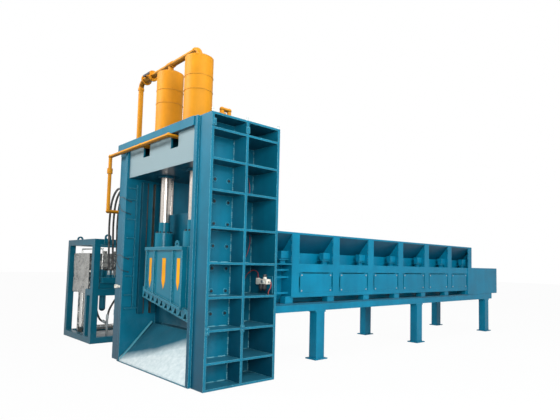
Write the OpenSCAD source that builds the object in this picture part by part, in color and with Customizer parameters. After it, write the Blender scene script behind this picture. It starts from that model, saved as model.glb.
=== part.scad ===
// Hydraulic gantry shear with a feed trough behind it and a power unit beside it.
// The origin lies on the floor, in the middle of the gantry's front plane.
// X runs across the gantry, Y from the front into the machine, and Z is up.

/* [Gantry] */
// Width over both columns
gantry_w = 2800; // [2700:10:3000]
// Depth from the front flange to the rear flange
gantry_d = 1180; // [1160:10:1400]
// Height from the floor to the top plate
gantry_h = 3600; // [3500:10:3800]
// Thickness of the vertical flange plates
flange_t = 40; // [30:1:50]
// Thickness of the horizontal ribs and of the top plate
rib_t = 30; // [20:1:40]
// Clear width between the jamb walls
opening_w = 2080; // [2060:10:2160]
// Thickness of a jamb wall
jamb_t = 70; // [50:1:90]
// How far a jamb wall stands proud of the front flange
jamb_proud = 40; // [20:1:50]
// Clear width between the rear walls, where the trough enters
throat_w = 1580; // [1580:10:1640]
// Thickness of a rear wall
throat_t = 50; // [30:1:60]
// Distance from the front plane to the middle flange
mid_y = 570; // [570:1:600]
// Height of the crosshead, from its lower plate to the top of the gantry
crosshead_h = 600; // [560:5:620]
// Thickness of the crosshead's front panel
panel_t = 30; // [20:1:40]
// Height of the bar along the top of the front panel
top_bar_h = 130; // [100:5:140]
// How far that bar reaches past the jamb walls
top_bar_proud = 20; // [10:1:40]

/* [Knife slide] */
// Half the distance between the two main cylinders
cylinder_x = 440; // [430:5:450]
// Distance of the main cylinders from the front plane
cylinder_y = 360; // [350:5:370]
// Diameter of a main rod
rod_d = 160; // [120:2:170]
// Outer diameter of a main cylinder
barrel_d = 426; // [400:2:430]
// Bore of a main cylinder
bore_d = 330; // [300:2:340]
// Height of the main cylinders above the top of the gantry
barrel_rise = 1100; // [1000:10:1200]
// Width of the slide's box
slide_w = 1400; // [1360:10:1440]
// Height of the slide's top face in the stored position
slide_top_z = 1850; // [1800:5:1880]
// Slope of the knife edge across the machine
rake_deg = 10.9; // [9:0.1:12]
// Height of the blade holder's lower edge at the middle
edge_z = 925; // [910:5:940]
// Height of the blade holder
holder_h = 165; // [150:5:180]
// Thickness of the blades
blade_t = 50; // [40:1:60]
// Height of the blades
blade_h = 100; // [80:5:110]

/* [Hold-down] */
// Half the distance between the hold-down rods
hold_x = 715; // [700:1:715]
// Distance of the hold-down rods from the front plane
hold_y = 610; // [610:1:620]
// Diameter of a hold-down rod
hold_rod_d = 60; // [50:1:64]
// Outer diameter of a hold-down cylinder
hold_barrel_d = 130; // [120:2:130]
// Height of the hold-down beam's lower face
hold_low_z = 1620; // [1600:5:1700]
// Height of the hold-down beam's top face
hold_top_z = 2400; // [2350:5:2450]

/* [Trough] */
// Outer width of the trough over its posts
trough_w = 1574; // [1560:2:1580]
// Clear width of the trough at its floor
channel_w = 1000; // [960:10:1040]
// Height of the trough's floor
floor_z = 985; // [980:1:1000]
// Height of the trough's rim
rim_z = 2167; // [2150:1:2200]
// Height at which the walls start to flare
flare_z = 1830; // [1800:5:1860]
// Thickness of the trough's wall plates
wall_t = 30; // [20:1:36]
// Place of the first post
post_y = 2046; // [2000:1:2080]
// Distance from post to post
post_pitch = 1014.5; // [1000:0.5:1020]
// Number of posts on each side
post_count = 7; // [5:1:7]
// Width of a post along the trough
post_w = 170; // [150:1:180]
// Height of the base beams
beam_h = 143; // [120:1:150]
// Width of a leg across the machine
leg_w = 170; // [150:1:180]
// Width of a leg along the machine
leg_l = 200; // [180:1:220]
// Length of the end box behind the last post's front edge
end_box_l = 1630; // [1600:5:1700]
// Height of the end box
end_box_h = 665; // [650:5:700]

/* [Feed cylinder] */
// Radius of the outer tube of the feed cylinder
feed_r = 190; // [180:1:200]
// Wall of each tube of the feed cylinder
feed_wall = 20; // [18:1:22]
// Length of the push head
head_l = 1000; // [900:10:1100]
// Height of the push head
head_h = 600; // [560:10:640]

/* [Power unit] */
// Distance from the gantry's middle to the near side of the power unit
unit_x = 2920; // [2900:10:2960]
// Width of the power unit
unit_w = 1530; // [1500:10:1600]
// Distance of the power unit's front from the gantry's front plane
unit_y = 190; // [180:5:200]
// Depth of the power unit
unit_d = 1700; // [1650:10:1800]
// Height of the power unit
unit_h = 2050; // [2000:10:2100]
// Outer size of the square tubes
tube_s = 120; // [110:1:125]
// Wall of the square tubes
tube_wall = 8; // [5:1:10]
// Height of the middle rails' top
rail_z = 1050; // [1040:5:1060]

/* [Pipes] */
// Outer diameter of the large top pipe
top_pipe_d = 89; // [76:1:95]
// Outer diameter of the front pipe
front_pipe_d = 60; // [50:1:64]
// Outer diameter of a hydraulic hose
hose_d = 40; // [30:1:42]

/* [Hidden] */

blue = [0.16, 0.50, 0.60];
deep_blue = [0.10, 0.36, 0.47];
yellow = [0.93, 0.66, 0.18];
steel = [0.78, 0.78, 0.76];
silver = [0.62, 0.62, 0.58];
dark = [0.12, 0.13, 0.14];
cream = [0.86, 0.84, 0.74];
red = [0.66, 0.12, 0.14];

// Overrun of every cut past the face it opens
cut = 5;
// Radial gap of a sliding piston or rod in its bore
fit_gap = 0.05;
// Gap between pieces that pass each other or are slipped together
slip_gap = 0.3;
smooth_fn = 96;
$fn = smooth_fn;
bolt_fn = 24;

crosshead_z = gantry_h - crosshead_h;
barrel_top_z = gantry_h + barrel_rise;
opening_x = opening_w / 2;
throat_x = throat_w / 2;
column_x = gantry_w / 2;
trough_x = trough_w / 2;
channel_x = channel_w / 2;
rake = tan(rake_deg);
// Heights of the column ribs, as shares of the gantry's height
rib_level_shares = [0.0992, 0.2133, 0.33, 0.4542, 0.5822, 0.7189, 0.8342, 0.945, 1];

// Bolts and small fastenings
bolt_d = 24;
bolt_head_d = 36;
bolt_head_h = 15;

// Guides of the slide
guide_rail_w = 90;
guide_rail_d = 65;
liner_t = 12;
tongue_t = 110;
guide_low_z = 760;
guide_gap = 50;
guide_high_z = crosshead_z - guide_gap;
slide_gap = 3;
tongue_y = cylinder_y + 20;
slot_half = tongue_t / 2 + slide_gap + liner_t;

// Slide box and its front nose
slide_front_y = 200;
slide_back_y = 520;
nose_w = 1140;
nose_y = 120;
nose_panel_y = 145;
nose_rib_t = 30;
slide_plate_t = 40;
slide_top_t = 50;
ledge_t = 30;
ledge_y = 105;
holder_front_y = 160;
blade_gap = 3;
blade_count = 4;
blade_drop = 15;
pocket_count = 10;
pocket_w = 100;
pocket_h = 72;
pocket_d = 60;
bolt_low = 42;
sleeve_h = 170;
sleeve_wall = 8;
flange_r = 142;
flange_h = 230;
piston_h = 150;
piston_rise = 700;
piston_z = crosshead_z + piston_rise;
gland_r = 125;
gland_t = 30;
gland_in = 130;
cap_in = 60;
lug_w = 120;
lug_h = 110;
lug_t = 25;
lug_hole_d = 45;

function edge_at(x) = edge_z - rake * x;

// Straight block between two opposite corners
module block(low, high) {
    translate(low) cube([high.x - low.x, high.y - low.y, high.z - low.z]);
}

// Square tube with closed ends, wall thickness tube_wall
module square_tube(low, high) {
    wall = [tube_wall, tube_wall, tube_wall];
    difference() {
        block(low, high);
        block(low + wall, high - wall);
    }
}

// Solid cylinder along Y
module rod_y(x, y0, y1, z, r, fn = bolt_fn) {
    translate([x, y1, z]) rotate([90, 0, 0]) cylinder(r = r, h = y1 - y0, $fn = fn);
}

// Solid cylinder along X
module rod_x(x0, x1, y, z, r, fn = bolt_fn) {
    translate([x0, y, z]) rotate([0, 90, 0]) cylinder(r = r, h = x1 - x0, $fn = fn);
}

// Both sides of the machine
module both_sides() {
    children();
    mirror([1, 0, 0]) children();
}

// Prism whose lower and upper faces follow the rake of the knife
module raked_block(x0, x1, y0, y1, low, high) {
    translate([0, y1, 0]) rotate([90, 0, 0]) linear_extrude(y1 - y0)
        polygon([
            [x0, edge_at(x0) + low], [x1, edge_at(x1) + low],
            [x1, edge_at(x1) + high], [x0, edge_at(x0) + high]
        ]);
}

// Quarter bend of a pipe in the XZ plane, from +Z round to -X, about its own centre
module pipe_bend(r, bend_r) {
    translate([-bend_r, 0, 0]) rotate([90, 0, 0])
        rotate_extrude(angle = 90) translate([bend_r, 0]) circle(r = r, $fn = 48);
}

// One column on the +X side: an open grid of flanges and ribs on a jamb wall and a rear wall
jamb_out_x = opening_x + jamb_t;
rear_out_x = throat_x + throat_t;
module column_grid() {
    block([opening_x, -jamb_proud, 0], [jamb_out_x, mid_y, gantry_h]);
    block([jamb_out_x, 0, 0], [column_x, flange_t, gantry_h]);
    block([throat_x, mid_y, 0], [column_x, mid_y + flange_t, gantry_h]);
    block([throat_x, gantry_d - flange_t, 0], [column_x, gantry_d, gantry_h]);
    block([throat_x, mid_y, 0], [rear_out_x, gantry_d, gantry_h]);
    for (level_share = rib_level_shares) {
        top = level_share * gantry_h;
        block([opening_x + jamb_t / 2, flange_t / 2, top - rib_t], [column_x, mid_y + cut, top]);
        block([throat_x + throat_t / 2, mid_y, top - rib_t], [column_x, gantry_d - flange_t / 2, top]);
    }
    block([opening_x + jamb_t / 2, flange_t / 2, 0], [column_x, mid_y + cut, rib_t]);
    block([throat_x + throat_t / 2, mid_y, 0], [column_x, gantry_d - flange_t / 2, rib_t]);
}
rail_bolt_z = 940;
rail_bolt_end = 180;
rail_bolt_count = 7;
rail_bolt_pitch = (guide_high_z - rail_bolt_end - rail_bolt_z) / (rail_bolt_count - 1);
front_rail_y = tongue_y - slot_half - guide_rail_w / 2;
rear_rail_y = tongue_y + slot_half + guide_rail_w / 2;
module rail_bolt_places() {
    for (i = [0:rail_bolt_count - 1], y = [front_rail_y, rear_rail_y])
        translate([0, y, rail_bolt_z + i * rail_bolt_pitch]) children();
}
module column() {
    difference() {
        column_grid();
        rail_bolt_places() rod_x(opening_x - cut, jamb_out_x + cut, 0, 0, bolt_d / 2 + slip_gap);
    }
}
module column_right() {
    color(blue) column();
}
module column_left() {
    color(blue) mirror([1, 0, 0]) column();
}

// Welded crosshead between the columns, with the bare front panel and its two pipe windows
window_w = 220;
window_h = 200;
crosshead_t = 40;
web_t = 30;
cross_web_y = 720;
bar_low_z = gantry_h - top_bar_h;
window_low_z = bar_low_z - window_h;
module crosshead_plan() {
    polygon([
        [-opening_x, 0], [opening_x, 0], [opening_x, mid_y], [throat_x, mid_y],
        [throat_x, gantry_d], [-throat_x, gantry_d], [-throat_x, mid_y], [-opening_x, mid_y]
    ]);
}
module cylinder_holes() {
    for (side = [-1, 1]) {
        translate([side * cylinder_x, cylinder_y, crosshead_z - cut])
            cylinder(r = barrel_d / 2 + slip_gap, h = gantry_h - crosshead_z + 2 * cut);
        translate([side * hold_x, hold_y, crosshead_z - cut])
            cylinder(r = hold_barrel_d / 2 + slip_gap, h = gantry_h - crosshead_z + 2 * cut);
    }
}
module crosshead() {
    color(blue) difference() {
        union() {
            translate([0, 0, crosshead_z]) linear_extrude(crosshead_t) crosshead_plan();
            translate([0, 0, gantry_h - rib_t]) linear_extrude(rib_t) crosshead_plan();
            block([-opening_x, 0, crosshead_z], [opening_x, panel_t, gantry_h]);
            block([-throat_x, gantry_d - panel_t, crosshead_z], [throat_x, gantry_d, gantry_h]);
            block([-throat_x, cross_web_y, crosshead_z], [throat_x, cross_web_y + web_t, gantry_h]);
            block([-web_t / 2, 0, crosshead_z], [web_t / 2, gantry_d, gantry_h]);
            block([-opening_x, -jamb_proud, bar_low_z], [opening_x, panel_t, gantry_h]);
            block([-column_x, -jamb_proud - top_bar_proud, bar_low_z], [opening_x, -jamb_proud, gantry_h]);
            block([-column_x, -jamb_proud - top_bar_proud, bar_low_z], [-jamb_out_x, 0, gantry_h]);
        }
        cylinder_holes();
        for (side = [-1, 1])
            block([side * cylinder_x - window_w / 2, 0, window_low_z],
                  [side * cylinder_x + window_w / 2, panel_t + cut, bar_low_z]);
    }
}

// Flat tie plate on the floor between the columns
tie_t = 12;
module base_tie() {
    color(deep_blue) block([-opening_x, -jamb_proud, 0], [opening_x, mid_y, tie_t]);
}

// Bolted pads over the joints of the flange edges, two bolts each
pad_w = 65;
pad_h = 95;
pad_t = 12;
pad_bolt_d = 20;
pad_low_shares = [0.197, 0.949];
module splice_pad() {
    block([column_x, 0, 0], [column_x + pad_t, pad_w, pad_h]);
    for (share = [0.25, 0.75])
        rod_x(column_x + pad_t, column_x + pad_t + pad_bolt_d / 2, pad_w / 2, share * pad_h, pad_bolt_d / 2);
}
module splice_pads() {
    color(steel) both_sides() for (low_share = pad_low_shares, y = [0, mid_y - pad_w / 4])
        translate([0, y, low_share * gantry_h]) splice_pad();
}

// Bolts that hold the guide rails, with their heads inside the column
module rail_bolts() {
    color(steel) both_sides() rail_bolt_places() {
        rod_x(opening_x - guide_rail_d / 2, jamb_out_x, 0, 0, bolt_d / 2);
        rod_x(jamb_out_x, jamb_out_x + bolt_head_h, 0, 0, bolt_head_d / 2);
    }
}

// Eye studs on the outer edge of the top plate
stud_d = 22;
stud_h = 34;
stud_eye_r = 14;
module top_studs() {
    color(steel) both_sides() for (y = [flange_t / 2, mid_y + flange_t / 2, gantry_d - flange_t / 2])
        translate([column_x - flange_t / 2, y, gantry_h]) {
            cylinder(d = stud_d, h = stud_h, $fn = bolt_fn);
            translate([0, 0, stud_h + stud_eye_r / 2]) sphere(r = stud_eye_r, $fn = bolt_fn);
        }
}

// Gusset ladders inside the jambs, with the foot plate that carries the front rail
ladder_d = 35;
ladder_rib_t = 16;
ladder_y = 150;
ladder_strip_t = 20;
ladder_gap = 100;
ladder_top_z = crosshead_z - ladder_gap;
foot_z = 860;
foot_t = 20;
// Heights of the ladder ribs, as shares of the gantry's height
ladder_shares = [0.2944, 0.3806, 0.4667, 0.5556, 0.6417, 0.7333, 0.7861];
module guide_ladders() {
    color(blue) both_sides() {
        for (share = ladder_shares)
            block([opening_x - ladder_d, 0, share * gantry_h],
                  [opening_x, ladder_y, share * gantry_h + ladder_rib_t]);
        block([opening_x - ladder_d, ladder_y - ladder_strip_t, foot_z], [opening_x, ladder_y, ladder_top_z]);
        block([opening_x - ladder_d, 0, foot_z - foot_t],
              [opening_x, front_rail_y - guide_rail_w / 2, foot_z]);
    }
}

// Front and rear guide rails on each jamb
module guide_rail(y) {
    difference() {
        block([opening_x - guide_rail_d, y - guide_rail_w / 2, guide_low_z],
              [opening_x, y + guide_rail_w / 2, guide_high_z]);
        for (i = [0:rail_bolt_count - 1])
            rod_x(opening_x - guide_rail_d / 2 - cut, opening_x + cut, y, rail_bolt_z + i * rail_bolt_pitch,
                  bolt_d / 2 + slip_gap);
    }
}
module guide_rails() {
    color(deep_blue) both_sides() {
        guide_rail(front_rail_y);
        guide_rail(rear_rail_y);
    }
}

// Wear liners on the faces that the slide's tongues run against
module guide_liners() {
    color("darkgoldenrod") both_sides() {
        block([opening_x - guide_rail_d, tongue_y - slot_half, guide_low_z],
              [opening_x, tongue_y - slot_half + liner_t, guide_high_z]);
        block([opening_x - guide_rail_d, tongue_y + slot_half - liner_t, guide_low_z],
              [opening_x, tongue_y + slot_half, guide_high_z]);
    }
}

// Table under the lower blades, a welded box between the rear walls
shear_y = slide_back_y + blade_gap;
table_low_z = 620;
table_wall = 40;
table_cell_count = 4;
blade_x = slide_w / 2;
lower_blade_low = floor_z - blade_h;
lower_bolt_count = 8;
lower_bolt_l = 60;
module lower_bolt_places() {
    for (i = [0:lower_bolt_count - 1])
        translate([-blade_x + (i + 0.5) * slide_w / lower_bolt_count, 0, floor_z - blade_h / 2]) children();
}
module knife_table() {
    cell_w = (throat_w - table_wall * (table_cell_count + 1)) / table_cell_count;
    color(deep_blue) difference() {
        union() {
            block([-throat_x, shear_y + blade_t, table_low_z], [throat_x, gantry_d, floor_z]);
            block([-throat_x, shear_y, table_low_z], [throat_x, shear_y + blade_t, lower_blade_low]);
        }
        for (i = [0:table_cell_count - 1]) {
            x = -throat_x + table_wall + i * (cell_w + table_wall);
            block([x, shear_y + blade_t + table_wall + lower_bolt_l, table_low_z - cut],
                  [x + cell_w, gantry_d - table_wall, floor_z - table_wall]);
        }
        lower_bolt_places() rod_y(0, shear_y, shear_y + blade_t + lower_bolt_l + cut, 0, bolt_d / 2 + slip_gap);
    }
}

// Lower blade segments, with counterbored bolts
module lower_blades() {
    segment = slide_w / blade_count;
    color(steel) difference() {
        for (i = [0:blade_count - 1])
            block([-blade_x + i * segment + slip_gap, shear_y, lower_blade_low],
                  [-blade_x + (i + 1) * segment - slip_gap, shear_y + blade_t, floor_z]);
        lower_bolt_places() {
            rod_y(0, shear_y - cut, shear_y + blade_t + cut, 0, bolt_d / 2 + slip_gap);
            rod_y(0, shear_y - cut, shear_y + bolt_head_h + cut, 0, bolt_head_d / 2 + slip_gap);
        }
    }
}
module lower_blade_bolts() {
    color(dark) lower_bolt_places() {
        rod_y(0, shear_y + cut, shear_y + bolt_head_h + cut, 0, bolt_head_d / 2);
        rod_y(0, shear_y + cut, shear_y + blade_t + lower_bolt_l, 0, bolt_d / 2);
    }
}

// Discharge chute below the knife: a sloped plate with edge strips, on three legs
chute_t = 20;
chute_top_z = 590;
chute_lip = 30;
chute_strip_w = 14;
chute_strip_h = 26;
chute_leg_w = 80;
chute_front_y = -jamb_proud + tie_t;
module chute_profile(rise, depth) {
    polygon([
        [chute_front_y, tie_t], [chute_front_y + depth, tie_t], [shear_y - slip_gap, chute_top_z - depth],
        [shear_y - slip_gap, chute_top_z + rise], [chute_front_y, tie_t + chute_lip + rise]
    ]);
}
module along_x(x0, x1) {
    translate([x0, 0, 0]) rotate([90, 0, 90]) linear_extrude(x1 - x0) children();
}
module chute() {
    color(blue) {
        along_x(-opening_x, opening_x) chute_profile(0, chute_t + chute_lip);
        both_sides() along_x(opening_x - chute_strip_w, opening_x) chute_profile(chute_strip_h, chute_t + chute_lip);
        for (x = [-opening_x, -chute_leg_w / 2, opening_x - chute_leg_w])
            block([x, shear_y - chute_leg_w, tie_t], [x + chute_leg_w, shear_y - slip_gap, chute_top_z - chute_t - chute_leg_w]);
    }
}

// Knife slide: hollow box, guide tongues, ribbed nose, ledge and raked blade holder
module slide_outline(x0, x1, low, top) {
    polygon([[x0, edge_at(x0) + low], [x1, edge_at(x1) + low], [x1, top], [x0, top]]);
}
module along_y(y0, y1) {
    translate([0, y1, 0]) rotate([90, 0, 0]) linear_extrude(y1 - y0) children();
}
module pocket_places() {
    pitch = slide_w / pocket_count;
    for (i = [0:pocket_count - 1]) {
        x = -blade_x + (i + 0.5) * pitch;
        translate([x, 0, edge_at(x) + bolt_low]) children();
    }
}
module slide_cells() {
    inner_x = slide_w / 2 - slide_plate_t;
    cell_w = (2 * inner_x - 2 * slide_plate_t) / 3;
    for (i = [0:2]) {
        x0 = -inner_x + i * (cell_w + slide_plate_t);
        along_y(slide_front_y + slide_plate_t, slide_back_y - slide_plate_t)
            slide_outline(x0, x0 + cell_w, holder_h + slide_plate_t, slide_top_z - slide_top_t);
    }
}
module slide_nose() {
    nose_x = nose_w / 2;
    along_y(nose_panel_y, slide_front_y)
        slide_outline(-nose_x, nose_x, holder_h - ledge_t / 2, slide_top_z);
    for (x = [-nose_x, -nose_x / 2 - nose_rib_t / 2, nose_x / 2 - nose_rib_t / 2, nose_x - nose_rib_t])
        along_y(nose_y, slide_front_y) slide_outline(x, x + nose_rib_t, holder_h - ledge_t / 2, slide_top_z);
    raked_block(-nose_x, nose_x, ledge_y, slide_front_y, holder_h - ledge_t, holder_h);
    block([-nose_x, ledge_y, slide_top_z - slide_top_t], [nose_x, slide_front_y, slide_top_z]);
}
module slide_tongues() {
    tongue_end = opening_x - slide_gap;
    both_sides() block([slide_w / 2 - cut, tongue_y - tongue_t / 2, edge_z + holder_h + blade_h],
                       [tongue_end, tongue_y + tongue_t / 2, slide_top_z]);
}
module lifting_lug() {
    difference() {
        union() {
            block([-lug_w / 2, cylinder_y - lug_t / 2, slide_top_z - cut],
                  [lug_w / 2, cylinder_y + lug_t / 2, slide_top_z + lug_h - lug_w / 2]);
            rod_y(0, cylinder_y - lug_t / 2, cylinder_y + lug_t / 2, slide_top_z + lug_h - lug_w / 2,
                  lug_w / 2, smooth_fn);
        }
        rod_y(0, cylinder_y - lug_t, cylinder_y + lug_t, slide_top_z + lug_h - lug_w / 2,
              lug_hole_d / 2, smooth_fn);
    }
}
module knife_slide() {
    color(blue) difference() {
        union() {
            along_y(slide_front_y, slide_back_y)
                slide_outline(-slide_w / 2, slide_w / 2, holder_h - cut, slide_top_z);
            raked_block(-slide_w / 2, slide_w / 2, holder_front_y, slide_back_y, 0, holder_h);
            slide_nose();
            slide_tongues();
            lifting_lug();
        }
        slide_cells();
        raked_block(-slide_w / 2 - cut, slide_w / 2 + cut, slide_back_y - blade_t, slide_back_y + cut,
                    -cut, blade_h - blade_drop + slip_gap);
        pocket_places() {
            along_y(holder_front_y - cut, holder_front_y + pocket_d)
                polygon([[-pocket_w / 2, -bolt_low / 2], [pocket_w / 2, -bolt_low / 2], [pocket_w / 5, pocket_h]]);
            rod_y(0, holder_front_y, slide_back_y, 0, bolt_d / 2 + slip_gap);
        }
    }
}

// Upper blade segments on the back of the holder, and the bolts in the pockets
module upper_blades() {
    segment = slide_w / blade_count;
    color(steel) difference() {
        for (i = [0:blade_count - 1])
            raked_block(-blade_x + i * segment + slip_gap, -blade_x + (i + 1) * segment - slip_gap,
                        slide_back_y - blade_t, slide_back_y, -blade_drop, blade_h - blade_drop);
        pocket_places() rod_y(0, slide_back_y - blade_t - cut, slide_back_y - blade_t / 4, 0,
                              bolt_d / 2 + slip_gap);
    }
}
module upper_blade_bolts() {
    seat_y = holder_front_y + pocket_d;
    color(steel) pocket_places() {
        rod_y(0, seat_y - bolt_head_h, seat_y, 0, bolt_head_d / 2);
        rod_y(0, seat_y - bolt_head_h, slide_back_y - blade_t / 2, 0, bolt_d / 2);
    }
}

// Chrome main rods with their pistons
module main_rods() {
    color(steel) for (side = [-1, 1]) translate([side * cylinder_x, cylinder_y, 0]) {
        translate([0, 0, slide_top_z]) cylinder(d = rod_d, h = piston_z - slide_top_z + cut);
        translate([0, 0, piston_z]) cylinder(r = bore_d / 2 - fit_gap, h = piston_h);
    }
}

// Bolted flange and sleeve that tie each rod to the slide
flange_bolt_count = 12;
module rod_flanges() {
    color(blue) for (side = [-1, 1]) translate([side * cylinder_x, cylinder_y, slide_top_z]) {
        difference() {
            union() {
                cylinder(r = flange_r, h = flange_h);
                cylinder(r = rod_d / 2 + sleeve_wall, h = flange_h + sleeve_h);
            }
            translate([0, 0, -cut])
                cylinder(r = rod_d / 2 + slip_gap, h = flange_h + sleeve_h + 2 * cut);
        }
        for (i = [0:flange_bolt_count - 1])
            rotate([0, 0, i * 360 / flange_bolt_count])
                translate([(flange_r + rod_d / 2 + sleeve_wall) / 2, 0, flange_h])
                    cylinder(d = bolt_head_d / 2, h = bolt_head_h, $fn = bolt_fn);
    }
}

// Main cylinder: thick tube through the crosshead, square flange, shallow dished top
flange_plate = 480;
flange_chamfer = 60;
flange_plate_t = 50;
dome_h = 45;
seam_r = 5;
seam_shares = [0.52, 0.72];
port_d = 60;
module square_flange() {
    s = flange_plate / 2;
    c = flange_chamfer;
    linear_extrude(flange_plate_t) polygon([
        [-s, -s + c], [-s + c, -s], [s - c, -s], [s, -s + c], [s, s - c], [s - c, s], [-s + c, s], [-s, s - c]
    ]);
}
module main_cylinder(side) {
    barrel_r = barrel_d / 2;
    shown_h = barrel_top_z - gantry_h;
    color(yellow) difference() {
        translate([side * cylinder_x, cylinder_y, 0]) {
            translate([0, 0, crosshead_z]) cylinder(r = barrel_r, h = barrel_top_z - crosshead_z);
            translate([0, 0, barrel_top_z]) rotate_extrude($fn = smooth_fn)
                polygon([[0, -cut], [barrel_r, -cut], [barrel_r, 0], [barrel_r * 0.8, dome_h * 0.55],
                         [barrel_r * 0.45, dome_h * 0.9], [0, dome_h]]);
            translate([0, 0, gantry_h]) square_flange();
            for (share = seam_shares)
                translate([0, 0, gantry_h + share * shown_h])
                    cylinder(r = barrel_r + seam_r, h = 2 * seam_r);
        }
        translate([side * cylinder_x, cylinder_y, 0]) {
            translate([0, 0, crosshead_z - cut])
                cylinder(r = rod_d / 2 + fit_gap, h = gland_in + 2 * cut);
            translate([0, 0, crosshead_z + gland_in])
                cylinder(r = bore_d / 2, h = barrel_top_z - cap_in - crosshead_z - gland_in);
        }
    }
}
module main_cylinder_right() {
    main_cylinder(1);
}
module main_cylinder_left() {
    main_cylinder(-1);
}

// Gland rings under the crosshead
module rod_glands() {
    color(deep_blue) for (side = [-1, 1])
        translate([side * cylinder_x, cylinder_y, crosshead_z - gland_t]) difference() {
            cylinder(r = gland_r, h = gland_t);
            translate([0, 0, -cut]) cylinder(r = rod_d / 2 + fit_gap, h = gland_t + 2 * cut);
        }
}

// Hold-down beam behind the knife
beam_front_y = slide_back_y + 10;
beam_back_y = 800;
beam_gap = 10;
beam_wall = 30;
module hold_down_beam() {
    beam_x = throat_x - beam_gap;
    cell_w = (2 * beam_x - 4 * beam_wall) / 3;
    color(blue) difference() {
        block([-beam_x, beam_front_y, hold_low_z], [beam_x, beam_back_y, hold_top_z]);
        for (i = [0:2]) {
            x = -beam_x + beam_wall + i * (cell_w + beam_wall);
            block([x, beam_front_y + beam_wall, hold_low_z + 2 * beam_wall],
                  [x + cell_w, beam_back_y - beam_wall, hold_top_z - beam_wall]);
        }
    }
}

// Hold-down rods with pistons, and their cylinders through the crosshead
hold_piston_r = 50;
hold_piston_h = 60;
hold_piston_rise = 690;
hold_piston_z = crosshead_z + hold_piston_rise;
hold_gland = 60;
hold_cap = 40;
hold_barrel_rise = 260;
hold_barrel_top = gantry_h + hold_barrel_rise;
module hold_down_rods() {
    color(steel) for (side = [-1, 1]) translate([side * hold_x, hold_y, 0]) {
        translate([0, 0, hold_top_z])
            cylinder(d = hold_rod_d, h = hold_piston_z - hold_top_z + cut);
        translate([0, 0, hold_piston_z])
            cylinder(r = hold_piston_r - fit_gap, h = hold_piston_h);
    }
}
module hold_down_cylinders() {
    color(yellow) for (side = [-1, 1]) translate([side * hold_x, hold_y, 0]) difference() {
        translate([0, 0, crosshead_z])
            cylinder(d = hold_barrel_d, h = hold_barrel_top - crosshead_z);
        translate([0, 0, crosshead_z - cut])
            cylinder(r = hold_rod_d / 2 + fit_gap, h = hold_gland + 2 * cut);
        translate([0, 0, crosshead_z + hold_gland])
            cylinder(r = hold_piston_r, h = hold_barrel_top - hold_cap - crosshead_z - hold_gland);
    }
}

// Top pipe: from both cylinder heads across to the left and down the outside of the column
top_pipe_r = top_pipe_d / 2;
top_bend_r = 110;
head_z = barrel_top_z + dome_h;
top_pipe_z = head_z + 120;
riser_x = -column_x - 130;
valve_x0 = -column_x + 60;
valve_x1 = -column_x + 330;
manifold_top_z = crosshead_z;
collar_l = 40;
collar_wall = 9;
module top_pipe() {
    r = top_pipe_r;
    color(yellow) {
        translate([cylinder_x, cylinder_y, head_z])
            cylinder(r = r, h = top_pipe_z - top_bend_r - barrel_top_z - dome_h);
        translate([cylinder_x, cylinder_y, top_pipe_z - top_bend_r]) pipe_bend(r, top_bend_r);
        rod_x(valve_x1, cylinder_x - top_bend_r, cylinder_y, top_pipe_z, r, smooth_fn);
        rod_x(cylinder_x - top_bend_r - collar_l, cylinder_x - top_bend_r, cylinder_y, top_pipe_z,
              r + collar_wall, smooth_fn);
        translate([cylinder_x, cylinder_y, head_z]) cylinder(r = r + collar_wall, h = collar_l / 2);
        translate([-cylinder_x, cylinder_y, head_z])
            cylinder(r = r, h = top_pipe_z - barrel_top_z - dome_h);
        rod_x(-cylinder_x - 2 * collar_l, -cylinder_x + 2 * collar_l, cylinder_y, top_pipe_z, r + collar_wall, smooth_fn);
        rod_x(riser_x + top_bend_r, valve_x0, cylinder_y, top_pipe_z, r, smooth_fn);
        translate([riser_x, cylinder_y, top_pipe_z - top_bend_r]) mirror([1, 0, 0]) pipe_bend(r, top_bend_r);
        translate([riser_x, cylinder_y, top_pipe_z - top_bend_r - collar_l])
            cylinder(r = r + collar_wall, h = collar_l);
        translate([riser_x, cylinder_y, manifold_top_z])
            cylinder(r = r, h = top_pipe_z - top_bend_r - manifold_top_z);
    }
}

// Flanged shut-off valve in the top pipe, with a lever on a stem
valve_flange_r = 95;
valve_flange_t = 24;
valve_body_r = 70;
stem_r = 14;
stem_h = 150;
lever_l = 220;
lever_t = 12;
lever_w = 32;
valve_mid_x = (valve_x0 + valve_x1) / 2;
module pipe_valve() {
    color(yellow) difference() {
        union() {
            rod_x(valve_x0, valve_x0 + valve_flange_t, cylinder_y, top_pipe_z, valve_flange_r, smooth_fn);
            rod_x(valve_x1 - valve_flange_t, valve_x1, cylinder_y, top_pipe_z, valve_flange_r, smooth_fn);
            rod_x(valve_x0, valve_x1, cylinder_y, top_pipe_z, valve_body_r, smooth_fn);
            rod_y(valve_mid_x, cylinder_y - valve_body_r - stem_r, cylinder_y, top_pipe_z, 2 * stem_r, smooth_fn);
        }
        rod_y(valve_mid_x, cylinder_y - 2 * valve_body_r, cylinder_y - valve_body_r / 2, top_pipe_z,
              stem_r + fit_gap, smooth_fn);
    }
}
module valve_lever() {
    stem_y = cylinder_y - valve_body_r - 3 * stem_r;
    color(steel) {
        rod_y(valve_mid_x, stem_y, cylinder_y - valve_body_r / 2 - slip_gap, top_pipe_z, stem_r, smooth_fn);
        rod_y(valve_mid_x, stem_y - lever_t, stem_y + lever_t / 2, top_pipe_z, lever_w / 2, smooth_fn);
        block([valve_mid_x, stem_y - lever_t, top_pipe_z - lever_w / 2],
              [valve_mid_x + lever_l, stem_y, top_pipe_z + lever_w / 2]);
    }
}

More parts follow.
